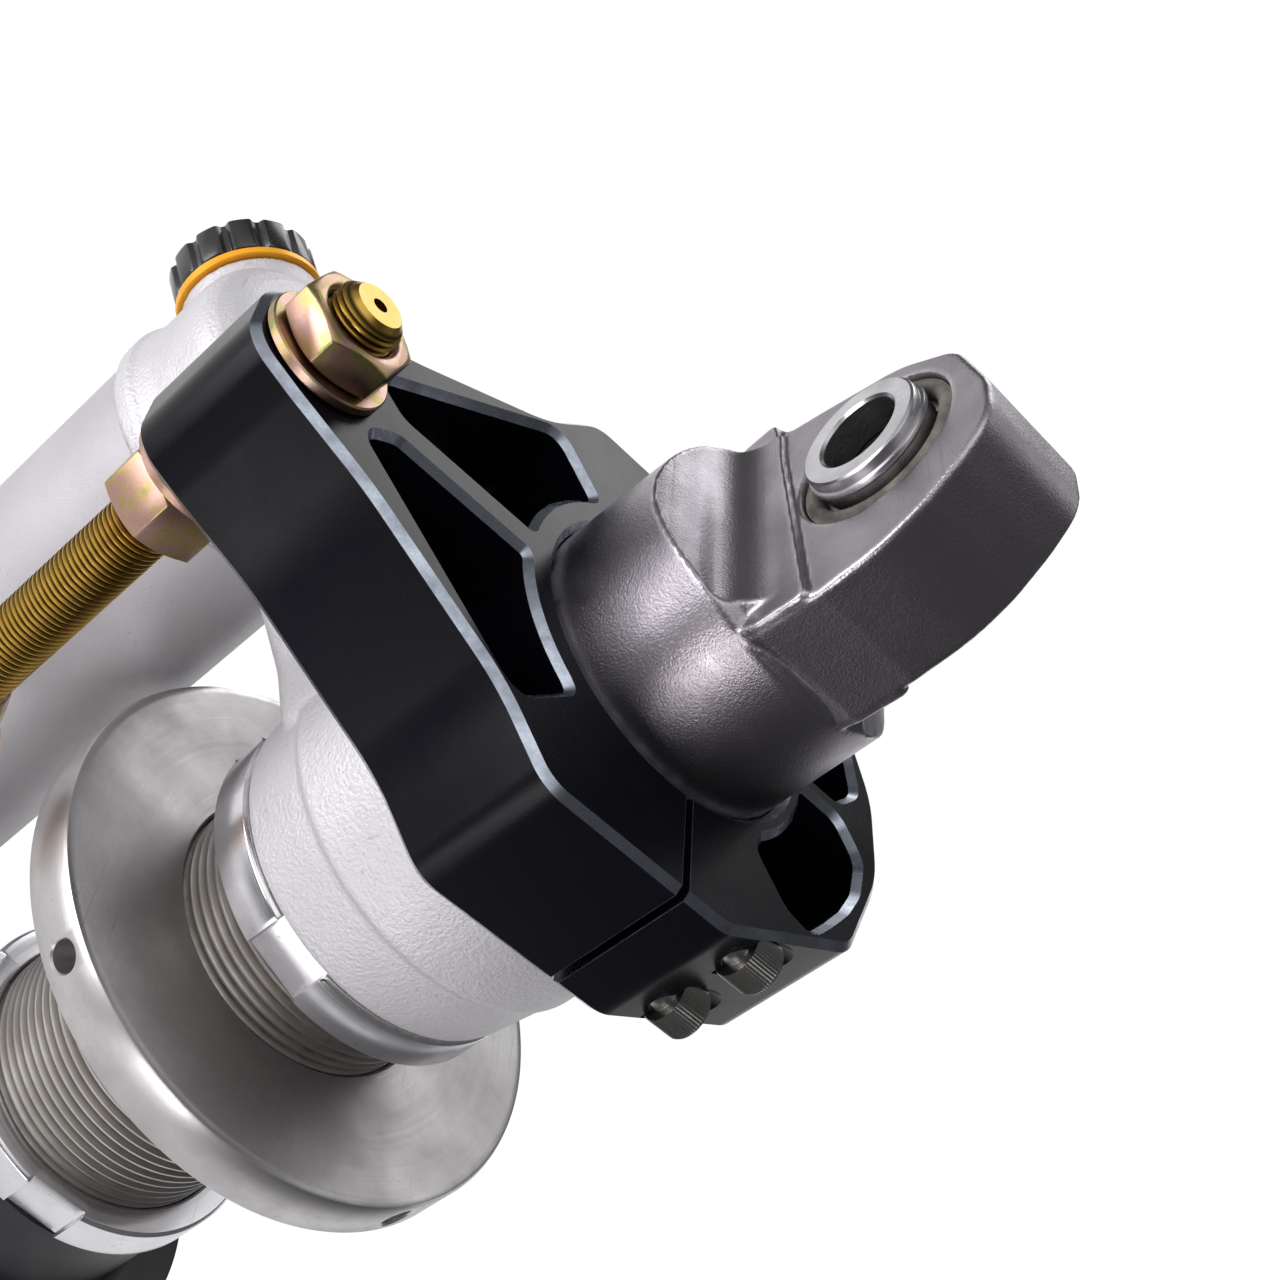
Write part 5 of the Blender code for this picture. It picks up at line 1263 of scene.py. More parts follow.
# ---- link rod
@dataclass
class LinkRod(Assembly):
    """Threaded rod end held in the arm by two nuts and two washers."""

    x: float = -0.0834
    rod_r: float = 0.00635
    above: float = 0.0138
    below: float = 0.0955
    pitch: float = 0.00127
    depth: float = 0.0007
    drill_r: float = 0.0014
    flats: float = 0.019
    top_nut: float = 0.0072
    low_nut: float = 0.011
    nut_turns: tuple[float, float] = (12.0, 20.0)
    washer_r: float = 0.0118
    washer_t: float = 0.002
    head_r: float = 0.0167
    head_half: float = 0.0072
    head_z: float = -0.1758
    head_edge: float = 0.0012
    ball_r: float = 0.0118
    ball_half: float = 0.009
    neck_r: float = 0.0098
    voxel: float = 0.00045

    @property
    def place(self) -> Point:
        """The foot of the rod's axis."""
        return (self.x, 0.0, 0.0)

    @property
    def eye(self) -> Point:
        """The centre of the rod end's ball."""
        return (self.x, 0.0, self.head_z)

    def rod(self) -> Piece:
        """Return the threaded rod, drilled in its upper end."""
        bench, top, low = self.bench, CLAMP_TOP + self.above, CLAMP_TOP - self.below - 0.001
        thread = bench.threaded("rod_end_thread", self.rod_r, self.depth, self.pitch, (low, top), 40)
        outer = self.rod_r + 0.0002
        envelope = [(0, top), (self.rod_r - 0.0019, top), (outer, top - 0.0021), (outer, low), (0, low)]
        bench.combine(thread, bench.turned("envelope", envelope, 64), "INTERSECT")
        bench.settle(thread, Matrix.Translation(self.place))
        r, over = self.drill_r, top + 0.002
        drill = [(0, over), (r, over), (r, top - 0.0028), (0, top - 0.0036)]
        return bench.combine(thread, bench.turned("drill", drill, 32, place=self.place))

    def head(self) -> Piece:
        """Return the forged head and its neck."""
        bench, low, neck, half = self.bench, CLAMP_TOP - self.below, self.neck_r, self.head_half
        head = bench.turned("rod_end_forging", [
            (0, low), (self.rod_r + 0.0004, low), (neck - 0.0016, low - 0.0035), (neck, low - 0.008),
            (neck + 0.0008, self.head_z + 0.009), (neck, self.head_z), (0, self.head_z)], place=self.place)
        eye = Outline.rod(self.head_r, half, -half, self.head_edge)
        bench.combine(head, bench.turned("eye", eye, 96, Axis.Y, self.eye), "UNION")
        mouth, deep = 0.009, 0.02
        hollow = Outline.ball(self.ball_r + 0.0004, half - 0.0006)
        cavity = [(0, deep), (mouth, deep), *hollow, (mouth, -deep), (0, -deep)]
        bench.combine(head, bench.turned("cavity", cavity, 96, Axis.Y, self.eye))
        bench.skin(head, self.voxel, 2)
        return head

    def nut(self, name: str, top: float, height: float, turn: float) -> Piece:
        """Return a hexagon nut with turned corners.

        Args:
            name: the piece's name.
            top: its upper face.
            height: its height.
            turn: how far its flats are turned, in degrees.

        Returns:
            The nut.
        """
        bench, bottom = self.bench, top - height
        corner = self.flats / math.sqrt(3)
        nut = bench.prism(name, Outline.hexagon(corner, turn), bottom, top)
        drop, crown_r, wide = 0.4 * (corner - self.flats / 2) + 0.0004, self.flats * 0.47, corner * 1.01
        over, under = top + 0.0001, bottom - 0.0001
        crown = [(0, over), (crown_r, over), (wide, top - drop), (wide, bottom + drop), (crown_r, under),
                 (0, under)]
        bench.combine(nut, bench.turned("crown", crown), "INTERSECT")
        r = self.rod_r + GAP
        bore = [(0, top + 0.001), (r + 0.0018, top + 0.001), (r, top - 0.0008), (r, bottom + 0.0008),
                (r + 0.0018, bottom - 0.001), (0, bottom - 0.001)]
        bench.combine(nut, bench.turned("bore", bore, 64))
        bench.bevel(nut, 0.00022)
        return bench.settle(nut, Matrix.Translation(self.place))

    def washer(self, name: str, top: float) -> Piece:
        """Return a plain washer under a given top face."""
        low, r, hole, edge = top - self.washer_t, self.washer_r, self.rod_r + GAP, 0.0003
        return self.bench.turned(name, [
            (hole + edge, top), (r - edge, top), (r, top - edge), (r, low + edge), (r - edge, low),
            (hole, low), (hole, top - edge)], place=self.place)

    def build(self) -> None:
        """Model the rod end with its nuts, washers and ball."""
        fit = self.fitter.fit
        along = Datum("rod", self.place)
        across = Datum("rod_eye", self.eye, (-QUARTER, 0.0, 0.0))
        fit(self.rod(), "yellow_zinc", "rod_end", Finishes.ROD_THREAD, along)
        fit(self.head(), "yellow_zinc", "", Finishes.ZINC, across, angle=50.0)
        upper, under = CLAMP_TOP + GAP + self.washer_t, CLAMP_LOW - GAP
        nut_top, nut_seat = upper + GAP + self.top_nut, under - self.washer_t - GAP
        top_turn, low_turn = self.nut_turns
        washer = self.washer("rod_washer_top", upper)
        fit(washer, "washer_steel", "rod_washer", Finishes.ZINC, along)
        washer = self.washer("rod_washer_under", under)
        fit(washer, "washer_steel", "rod_washer_low", Finishes.ZINC, along)
        nut = self.nut("rod_nut_upper", nut_top, self.top_nut, top_turn)
        fit(nut, "yellow_zinc", "rod_nut_top", Finishes.ZINC, along)
        nut = self.nut("rod_nut_lower", nut_seat, self.low_nut, low_turn)
        fit(nut, "yellow_zinc", "rod_nut_bottom", Finishes.ZINC, along)
        profile = Outline.ball(self.ball_r, self.ball_half)
        profile += [(self.rod_r, -self.ball_half), (self.rod_r, self.ball_half)]
        ball = self.bench.turned("rod_ball_polished", profile, 96, Axis.Y, self.eye)
        fit(ball, "bearing_chrome", "rod_ball", Finishes.CHROME, across, body="link_ball")


# ---- housing
@dataclass
class HeadHousing(Assembly):
    """Cast housing with the bridge to the reservoir head and the knob's boss."""

    top: float = -0.0856
    r: float = 0.0389
    foot_r: float = 0.0363
    length: float = 0.0443
    step: float = 0.0277
    shelf: float = 0.0187
    spigot_r: float = 0.0243
    seat_r: float = BODY_SEAT_R
    bridge_t: float = 0.027
    bridge_half: float = 0.0163
    bridge_drop: float = 0.0219
    bridge_edge: float = 0.005
    fillet: tuple[float, float] = (0.026, 0.074)
    fillet_half: float = 0.034
    fillet_fade: float = 0.006
    fillet_passes: int = 14
    reach: float = 0.0918
    azimuth: float = math.radians(135.0)
    seam_drop: float = 0.0357
    head_r: float = 0.0306
    neck_r: float = 0.0288
    head_h: float = 0.0325
    spigot: float = 0.009
    tube_bore_r: float = 0.02595
    boss_r: float = 0.0148
    boss_reach: float = 0.0309
    knob_azimuth: float = math.radians(120.0)
    knob_drop: float = 0.0208
    voxel: float = 0.00066

    @property
    def centre(self) -> Point:
        """The reservoir's axis."""
        return (self.reach * math.cos(self.azimuth), self.reach * math.sin(self.azimuth), 0.0)

    @property
    def knob_frame(self) -> Matrix:
        """The frame of the knob, its Z along the knob's axis."""
        x, y, _ = self.centre
        return radial(self.knob_azimuth, (x, y, self.top - self.knob_drop))

    def shell(self) -> Piece:
        """Return the round housing."""
        top, r, foot, seam, low = self.top, self.r, self.foot_r, self.top - self.step, self.top - self.length
        return self.bench.turned("head_housing_casting", [
            (0, top), (r - 0.002, top), (r - 0.0006, top - 0.0006), (r, top - 0.0022), (r, seam + 0.001),
            (r - 0.0004, seam + 0.0003), (r - 0.001, seam - 0.0001), (r - 0.0012, seam - 0.003),
            (foot + 0.0006, low + 0.006), (foot, low + 0.001), (foot - 0.0006, low), (0, low)], 160)

    def reservoir_head(self) -> Piece:
        """Return the round head of the reservoir."""
        seam = self.top - self.seam_drop
        top, neck, r = seam + self.head_h, self.neck_r, self.head_r
        inner, end = self.tube_bore_r, seam - self.spigot
        return self.bench.turned("reservoir_head", [
            (0, top), (neck - 0.011, top), (neck - 0.007, top - 0.0006), (neck - 0.004, top - 0.0018),
            (neck - 0.0016, top - 0.0038), (neck - 0.0004, top - 0.0062), (neck, top - 0.0092),
            (neck, seam + 0.01), (r - 0.001, seam + 0.0062), (r, seam + 0.0045), (r, seam + 0.0006),
            (r - 0.0006, seam), (inner, seam), (inner, end), (0, end)], 128, place=self.centre)

    def bridge(self) -> Piece:
        """Return the waisted web between the two heads."""
        half, reach = self.bridge_half, self.reach
        web = [(0, self.r - 0.01, 0.0), (self.r * 0.73, self.r * 0.704, 0.01),
               (self.r + 0.0009, half + 0.0054, 0.02), (reach * 0.57, half + 0.0022, 0.03),
               (reach * 0.683, half, 0.015), (reach * 0.806, half + 0.0007, 0.01),
               (reach, self.neck_r - 0.0048, 0.0)]
        level = Matrix.Translation((0, 0, self.top - self.bridge_drop))
        turn = Matrix.Rotation(self.azimuth, 4, "Z")
        outline = Outline.rounded(Outline.mirrored(web))
        bridge = self.bench.prism("bridge", outline, -self.bridge_t / 2, self.bridge_t / 2, level @ turn)
        self.bench.bevel(bridge, self.bridge_edge, 5, 70.0)
        return bridge

    def soften_bridge(self, body: Piece) -> None:
        """Smooth the casting where the bridge runs into the housing and the head."""
        group = body.vertex_groups.new(name="bridge")
        way = Vector((math.cos(self.azimuth), math.sin(self.azimuth)))
        start, end = self.fillet
        fade = self.fillet_fade
        for vertex in body.data.vertices:
            flat = Vector(vertex.co[:2])
            along, across = flat.dot(way), abs(flat.x * way.y - flat.y * way.x)
            near = held((along - start) / fade) * held((end - along) / fade)
            near *= held((self.fillet_half - across) / fade)
            if near > 0.0 and (flat.length > self.r - 0.0014 or vertex.co.z > self.top - 0.001):
                group.add([vertex.index], near, "REPLACE")
        self.bench.soften(body, self.fillet_passes, "bridge")
        body.vertex_groups.clear()

    def build(self) -> None:
        """Join the casting, skin it, soften the bridge and cut its bores."""
        bench, top, low, reach, r = self.bench, self.top, self.top - self.length, self.boss_reach, self.boss_r
        body = self.shell()
        bench.combine(body, self.bridge(), "UNION")
        bench.combine(body, self.reservoir_head(), "UNION")
        boss = [(0, reach), (r - 0.0005, reach), (r, reach - 0.0005), (r, 0.01), (0.0, 0.01)]
        bench.combine(body, bench.settle(bench.turned("boss", boss), self.knob_frame), "UNION")
        shelf = top - self.shelf + GAP
        bore = [(0, top + PAST), (self.spigot_r, top + PAST), (self.spigot_r, shelf), (self.seat_r, shelf),
                (self.seat_r, low - PAST), (0, low - PAST)]
        bench.combine(body, bench.turned("bore", bore, 128))
        bench.skin(body, self.voxel, 2)
        self.soften_bridge(body)
        self.fitter.fit(body, "cast_silver", "head_housing", Finishes.CAST_SILVER, angle=60.0)


@dataclass
class Adjuster(Assembly):
    """Ribbed knob over an orange dial on the boss of the housing."""

    frame: Matrix
    start: float = 0.0312
    dial_r: float = 0.0156
    dial_t: float = 0.0017
    dial_edge: float = 0.0002
    r: float = 0.0153
    t: float = 0.0085
    edge: float = 0.0008
    lobes: int = 13
    lobe_points: int = 16
    groove: float = 0.0013
    groove_half: float = 0.22

    def rim(self) -> Profile:
        """Return the knob's outline, dipped between its lobes."""
        count = self.lobes * self.lobe_points
        outline = []
        for index in range(count):
            angle = 2 * math.pi * index / count
            share = (index % self.lobe_points) / self.lobe_points
            dip = max(0.0, 1.0 - abs(share - 0.5) / self.groove_half)
            radius = self.r - self.groove * eased(dip)
            outline.append((radius * math.cos(angle), radius * math.sin(angle)))
        return outline

    def build(self) -> None:
        """Model the dial and the knob."""
        bench, low, high = self.bench, self.start, self.start + self.dial_t
        dial = bench.turned("adjuster_dial_ring", Outline.rod(self.dial_r, high, low, self.dial_edge), 128)
        bench.settle(dial, self.frame)
        foot = high + GAP
        face = foot + self.t
        knob = bench.prism("adjuster_knob_ribbed", self.rim(), foot, face)
        dish = [(0, face + 0.001), (self.r * 0.66, face + 0.001), (self.r * 0.62, face - 0.0012),
                (0, face - 0.0009)]
        bench.combine(knob, bench.turned("dish", dish))
        bench.bevel(knob, self.edge, 3, 50.0)
        bench.settle(knob, self.frame)
        self.fitter.fit(dial, "orange_dial", "adjuster_dial", Finishes.ORANGE)
        self.fitter.fit(knob, "knob_black", "adjuster_knob", Finishes.GLOSS_BLACK, body="knob")


@dataclass
class Reservoir(Assembly):
    """Remote tube with its end cap, filling valve and valve cap."""

    centre: Point
    top: float = -0.1216
    r: float = 0.02925
    bore_r: float = 0.02625
    length: float = 0.178
    cap_h: float = 0.012
    plug: float = 0.01
    valve_r: float = 0.0055
    stem_r: float = 0.0039
    cover_r: float = 0.0055
    cover_bore: float = 0.0042

    def build(self) -> None:
        """Model the tube, its cap and the valve."""
        turned, fit, datum = self.bench.turned, self.fitter.fit, Datum("reservoir", self.centre)
        top, low, r, bore = self.top, self.top - self.length, self.r, self.bore_r
        tube = turned("reservoir_tube_drawn", [
            (bore, top), (r - 0.0004, top), (r, top - 0.0004), (r, low + 0.0005), (r - 0.0005, low),
            (bore, low)], 144, place=self.centre)
        cap, inner, h = low - GAP, bore - GAP, self.cap_h
        end, well = cap - h, cap - h * 0.6
        plug = turned("reservoir_end_cap", [
            (0, low + self.plug), (inner, low + self.plug), (inner, cap), (r - 0.0003, cap),
            (r, cap - 0.0003), (r, cap - h * 0.45), (r - 0.0008, cap - h * 0.58), (r - 0.003, cap - h * 0.78),
            (r - 0.007, cap - h * 0.93), (r - 0.011, end), (0.009, end), (0.0085, end + 0.0004),
            (0.0085, well), (0, well)], 128, place=self.centre)
        stem, wide, thin = well - GAP, self.valve_r, self.stem_r
        valve = turned("fill_valve_stem", [
            (0, stem), (wide, stem), (wide, stem - 0.0038), (wide - 0.0002, stem - 0.004),
            (thin, stem - 0.0046), (thin, stem - 0.0116), (thin - 0.0004, stem - 0.012), (0, stem - 0.012)],
            48, place=self.centre)
        lid, out, hole, floor = stem - 0.0046 - GAP, self.cover_r, self.cover_bore, 0.0001
        cover = turned("valve_cap_moulded", [
            (hole, lid), (out - 0.0005, lid), (out, lid - 0.001), (out, lid - 0.0085),
            (out - 0.0009, lid - 0.01), (floor, lid - 0.01), (floor, stem - 0.0123), (hole, stem - 0.0123)],
            48, place=self.centre)
        fit(tube, "tube_silver", "reservoir_tube", Finishes.TUBE_SILVER, datum)
        fit(plug, "black_anodised", "reservoir_cap", Finishes.BLACK_TURNED, datum)
        fit(valve, "yellow_zinc", "fill_valve", Finishes.ZINC, datum)
        fit(cover, "knob_black", "valve_cap", Finishes.GLOSS_BLACK, datum, body="valve_cap")


# ---- body and rings
@dataclass
class BodyRings(Assembly):
    """Threaded body tube with the lock ring, the flange and the crossover ring."""

    crest: float = BODY_R
    bore_r: float = 0.0262
    depth: float = 0.0013
    pitch: float = 0.0025
    top: float = -0.1043
    bottom: float = BODY_LOW
    end_edge: float = 0.0012
    seat_r: float = BODY_SEAT_R
    ring_r: float = 0.0363
    lock: tuple[float, float] = (-0.1302, 0.0098)
    cross: tuple[float, float] = (-0.2183, 0.0102)
    slots: int = 4
    slot_angle: float = math.radians(20.7)
    slot_depth: float = 0.0022
    slot_start: float = math.radians(243.8)
    cross_turn: float = 0.35
    flange_top: float = -0.154
    flange_r: float = 0.058
    flange_t: float = 0.0121
    pins: int = 4
    pin_r: float = 0.00315
    pin_depth: float = 0.0088
    pin_start: float = math.radians(219.3)

    def tube(self) -> Piece:
        """Return the threaded tube."""
        bench, top, low, edge = self.bench, self.top, self.bottom, self.end_edge
        thread = bench.threaded("body_tube_thread", self.crest, self.depth, self.pitch, (low, top), 80)
        outer, bore = self.crest + 0.0002, self.bore_r
        envelope = [(bore, top), (outer - edge, top), (outer, top - edge), (outer, low + edge),
                    (outer - edge, low), (bore, low)]
        return bench.combine(thread, bench.turned("envelope", envelope, 80), "INTERSECT")

    def ring(self, name: str, level: tuple[float, float], start: float) -> Piece:
        """Return a slotted ring.

        Args:
            name: the piece's name.
            level: its upper face and its height.
            start: where its first slot is.

        Returns:
            The ring.
        """
        top, height = level
        bench, r, low, hole, edge, lead = self.bench, self.ring_r, top - height, self.seat_r, 0.0007, 0.0005
        ring = bench.turned(name, [
            (hole + lead, top), (r - edge, top), (r, top - edge), (r, low + edge), (r - edge, low),
            (hole + lead, low), (hole, low + lead), (hole, top - lead)], 160)
        half, floor = r * math.sin(self.slot_angle / 2), r - self.slot_depth
        slot = [(floor, -half), (floor + PAST, -half), (floor + PAST, half), (floor, half)]
        for index in range(self.slots):
            turn = Matrix.Rotation(start + index * math.tau / self.slots, 4, "Z")
            bench.combine(ring, bench.prism("slot", slot, low - 0.001, top + 0.001, turn))
        bench.bevel(ring, 0.00015)
        return ring

    def flange(self) -> Piece:
        """Return the preload flange with its pin holes."""
        bench, top, r, hole = self.bench, self.flange_top, self.flange_r, self.seat_r
        low = top - self.flange_t
        flange = bench.turned("preload_flange_disc", [
            (hole + 0.0006, top - 0.0018), (hole + 0.01, top - 0.0012), (r - 0.0022, top - 0.00005),
            (r - 0.0012, top), (r - 0.0004, top - 0.0003), (r, top - 0.0011), (r, low + 0.0011),
            (r - 0.0004, low + 0.0003), (r - 0.0012, low), (hole + 0.012, low), (hole + 0.0106, low - 0.0008),
            (hole + 0.01, low - 0.0026), (hole + 0.0096, low - 0.003), (hole + 0.0006, low - 0.003),
            (hole, low - 0.0024), (hole, top - 0.0024)], 192)
        pin_r, mouth = self.pin_r, r + 0.001
        pin = [(0, mouth), (pin_r + 0.0014, mouth), (pin_r, r - 0.0004), (pin_r, r - self.pin_depth),
               (0, r - self.pin_depth - 0.0012)]
        for index in range(self.pins):
            out = radial(self.pin_start + index * math.tau / self.pins, (0, 0, top - self.flange_t / 2))
            bench.combine(flange, bench.settle(bench.turned("pin", pin, 48), out))
        return flange

    def build(self) -> None:
        """Model the tube and its rings."""
        fit = self.fitter.fit
        fit(self.tube(), "body_aluminium", "body_tube", Finishes.BODY_THREAD, angle=40.0)
        lock = self.ring("lock_ring_slotted", self.lock, self.slot_start)
        fit(lock, "polished_aluminium", "lock_ring", Finishes.POLISHED)
        cross = self.ring("crossover_ring_slotted", self.cross, self.slot_start + self.cross_turn)
        fit(cross, "polished_aluminium", "crossover_ring", Finishes.POLISHED, body="crossover")
        fit(self.flange(), "flange_aluminium", "preload_flange", Finishes.BRUSHED, body="flange")


# ---- spring and shaft
@dataclass
class SpringSet(Assembly):
    """Main spring with the slider above it and the perch below it."""

    slider_top: float = -0.2288
    sleeve: float = 0.0302
    seat_r: float = BODY_SEAT_R
    wall: float = 0.0042
    rim_r: float = 0.048
    rim_t: float = 0.006
    pilot_l: float = 0.015
    pilot_r: float = 0.03194
    coil_top: float = -0.2653
    coil_bottom: float = -0.5297
    coil_r: float = 0.04
    wire_r: float = 0.0055
    turns: float = 8.5
    end_turns: float = 0.8
    end_lift: float = 0.0009
    end_rise: float = 0.6
    end_press: float = 0.0022
    end_tail: float = 0.7
    points: int = 48
    travel: float = 0.14
    shaft_r: float = 0.0113

    def weight(self, turn: float) -> float:
        """Return how open the coil is at a turn: 0 where it is closed, 1 where it is free."""
        edge = min(turn, self.turns - turn)
        return eased(held((edge - self.end_turns) / self.end_rise))

    def route(self) -> list[Vector]:
        """Return the wire's centre line, closed at both ends."""
        high, low = self.coil_top - self.wire_r, self.coil_bottom + self.wire_r
        steps = round(self.turns * self.points)
        closed = 2 * self.wire_r + self.end_lift
        samples = [self.weight((step + 0.5) * self.turns / steps) for step in range(steps)]
        spread = ((high - low) - closed * self.turns) / (sum(samples) * self.turns / steps)
        height, points = low, []
        for step in range(steps + 1):
            angle = 2 * math.pi * step / self.points
            points.append(Vector((self.coil_r * math.cos(angle), self.coil_r * math.sin(angle), height)))
            if step < steps:
                height += (closed + spread * samples[step]) * self.turns / steps
        for index, point in enumerate(points):
            turn = index / self.points
            point.z -= self.end_press * max(0.0, 1.0 - turn / self.end_tail) ** 2
            point.z += self.end_press * max(0.0, 1.0 - (self.turns - turn) / self.end_tail) ** 2
        return points

    def spring(self) -> Piece:
        """Return the coil spring with its ends ground flat."""
        bench, route = self.bench, self.route()
        bench.clear()
        bpy.ops.curve.primitive_bezier_curve_add()
        obj = bpy.context.object
        obj.name = "main_spring_wound"
        curve = obj.data
        curve.splines.clear()
        spline = curve.splines.new("POLY")
        spline.points.add(len(route) - 1)
        for target, point in zip(spline.points, route):
            target.co = (*point, 1.0)
        curve.dimensions = "3D"
        curve.bevel_depth = self.wire_r
        curve.bevel_resolution = 5
        curve.use_fill_caps = True
        bench.hold(obj)
        bpy.ops.object.convert(target="MESH")
        obj = bpy.context.object
        bench.open(obj)
        bpy.ops.mesh.remove_doubles(threshold=0.00001)
        for level, side in ((self.coil_top, 1.0), (self.coil_bottom, -1.0)):
            bpy.ops.mesh.select_all(action="SELECT")
            plane = {"plane_co": (0, 0, level), "plane_no": (0, 0, side)}
            bpy.ops.mesh.bisect(**plane, use_fill=True, clear_outer=True)
        bench.close()
        return bench.settle(obj, Matrix.Identity(4))

    def build(self) -> None:
        """Model the spring, the slider and the perch."""
        spring, fit = self.spring(), self.fitter.fit
        fit(spring, "spring_coat", "main_spring", Finishes.SPRING_COAT, angle=50.0)
        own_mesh(spring)
        head, top = self.slider_top, self.slider_top - self.sleeve
        seat, bore, r = top - self.rim_t, self.seat_r, self.seat_r + self.wall
        pilot, rim_r = self.pilot_r, self.rim_r
        end = seat - self.pilot_l
        slider = self.bench.turned("spring_slider_turned", [
            (r - 0.0005, head), (r, head - 0.0005), (r, top + 0.003), (r + 0.0008, top + 0.001),
            (r + 0.003, top), (rim_r - 0.001, top), (rim_r - 0.0003, top - 0.0003), (rim_r, top - 0.001),
            (rim_r, seat + 0.0006), (rim_r - 0.0006, seat), (pilot, seat), (pilot, end + 0.001),
            (pilot - 0.001, end), (bore, end), (bore, head)], 160)
        fit(slider, "black_anodised", "spring_slider", Finishes.BLACK_TURNED)
        rim, shaft = self.coil_bottom - GAP, self.shaft_r
        under, crown = rim - self.rim_t, rim + self.pilot_l * 0.6
        perch = self.bench.turned("spring_perch_turned", [
            (pilot - 0.001, crown), (pilot, crown - 0.001), (pilot, rim), (rim_r - 0.0006, rim),
            (rim_r, rim - 0.0006), (rim_r, under + 0.002), (rim_r - 0.0006, under + 0.0006),
            (rim_r - 0.002, under), (shaft, under), (shaft, rim - 0.002), (pilot - 0.006, rim - 0.002),
            (pilot - 0.0045, crown)], 160)
        fit(perch, "black_anodised", "spring_perch", Finishes.BLACK_TURNED, body="lower_shaft")


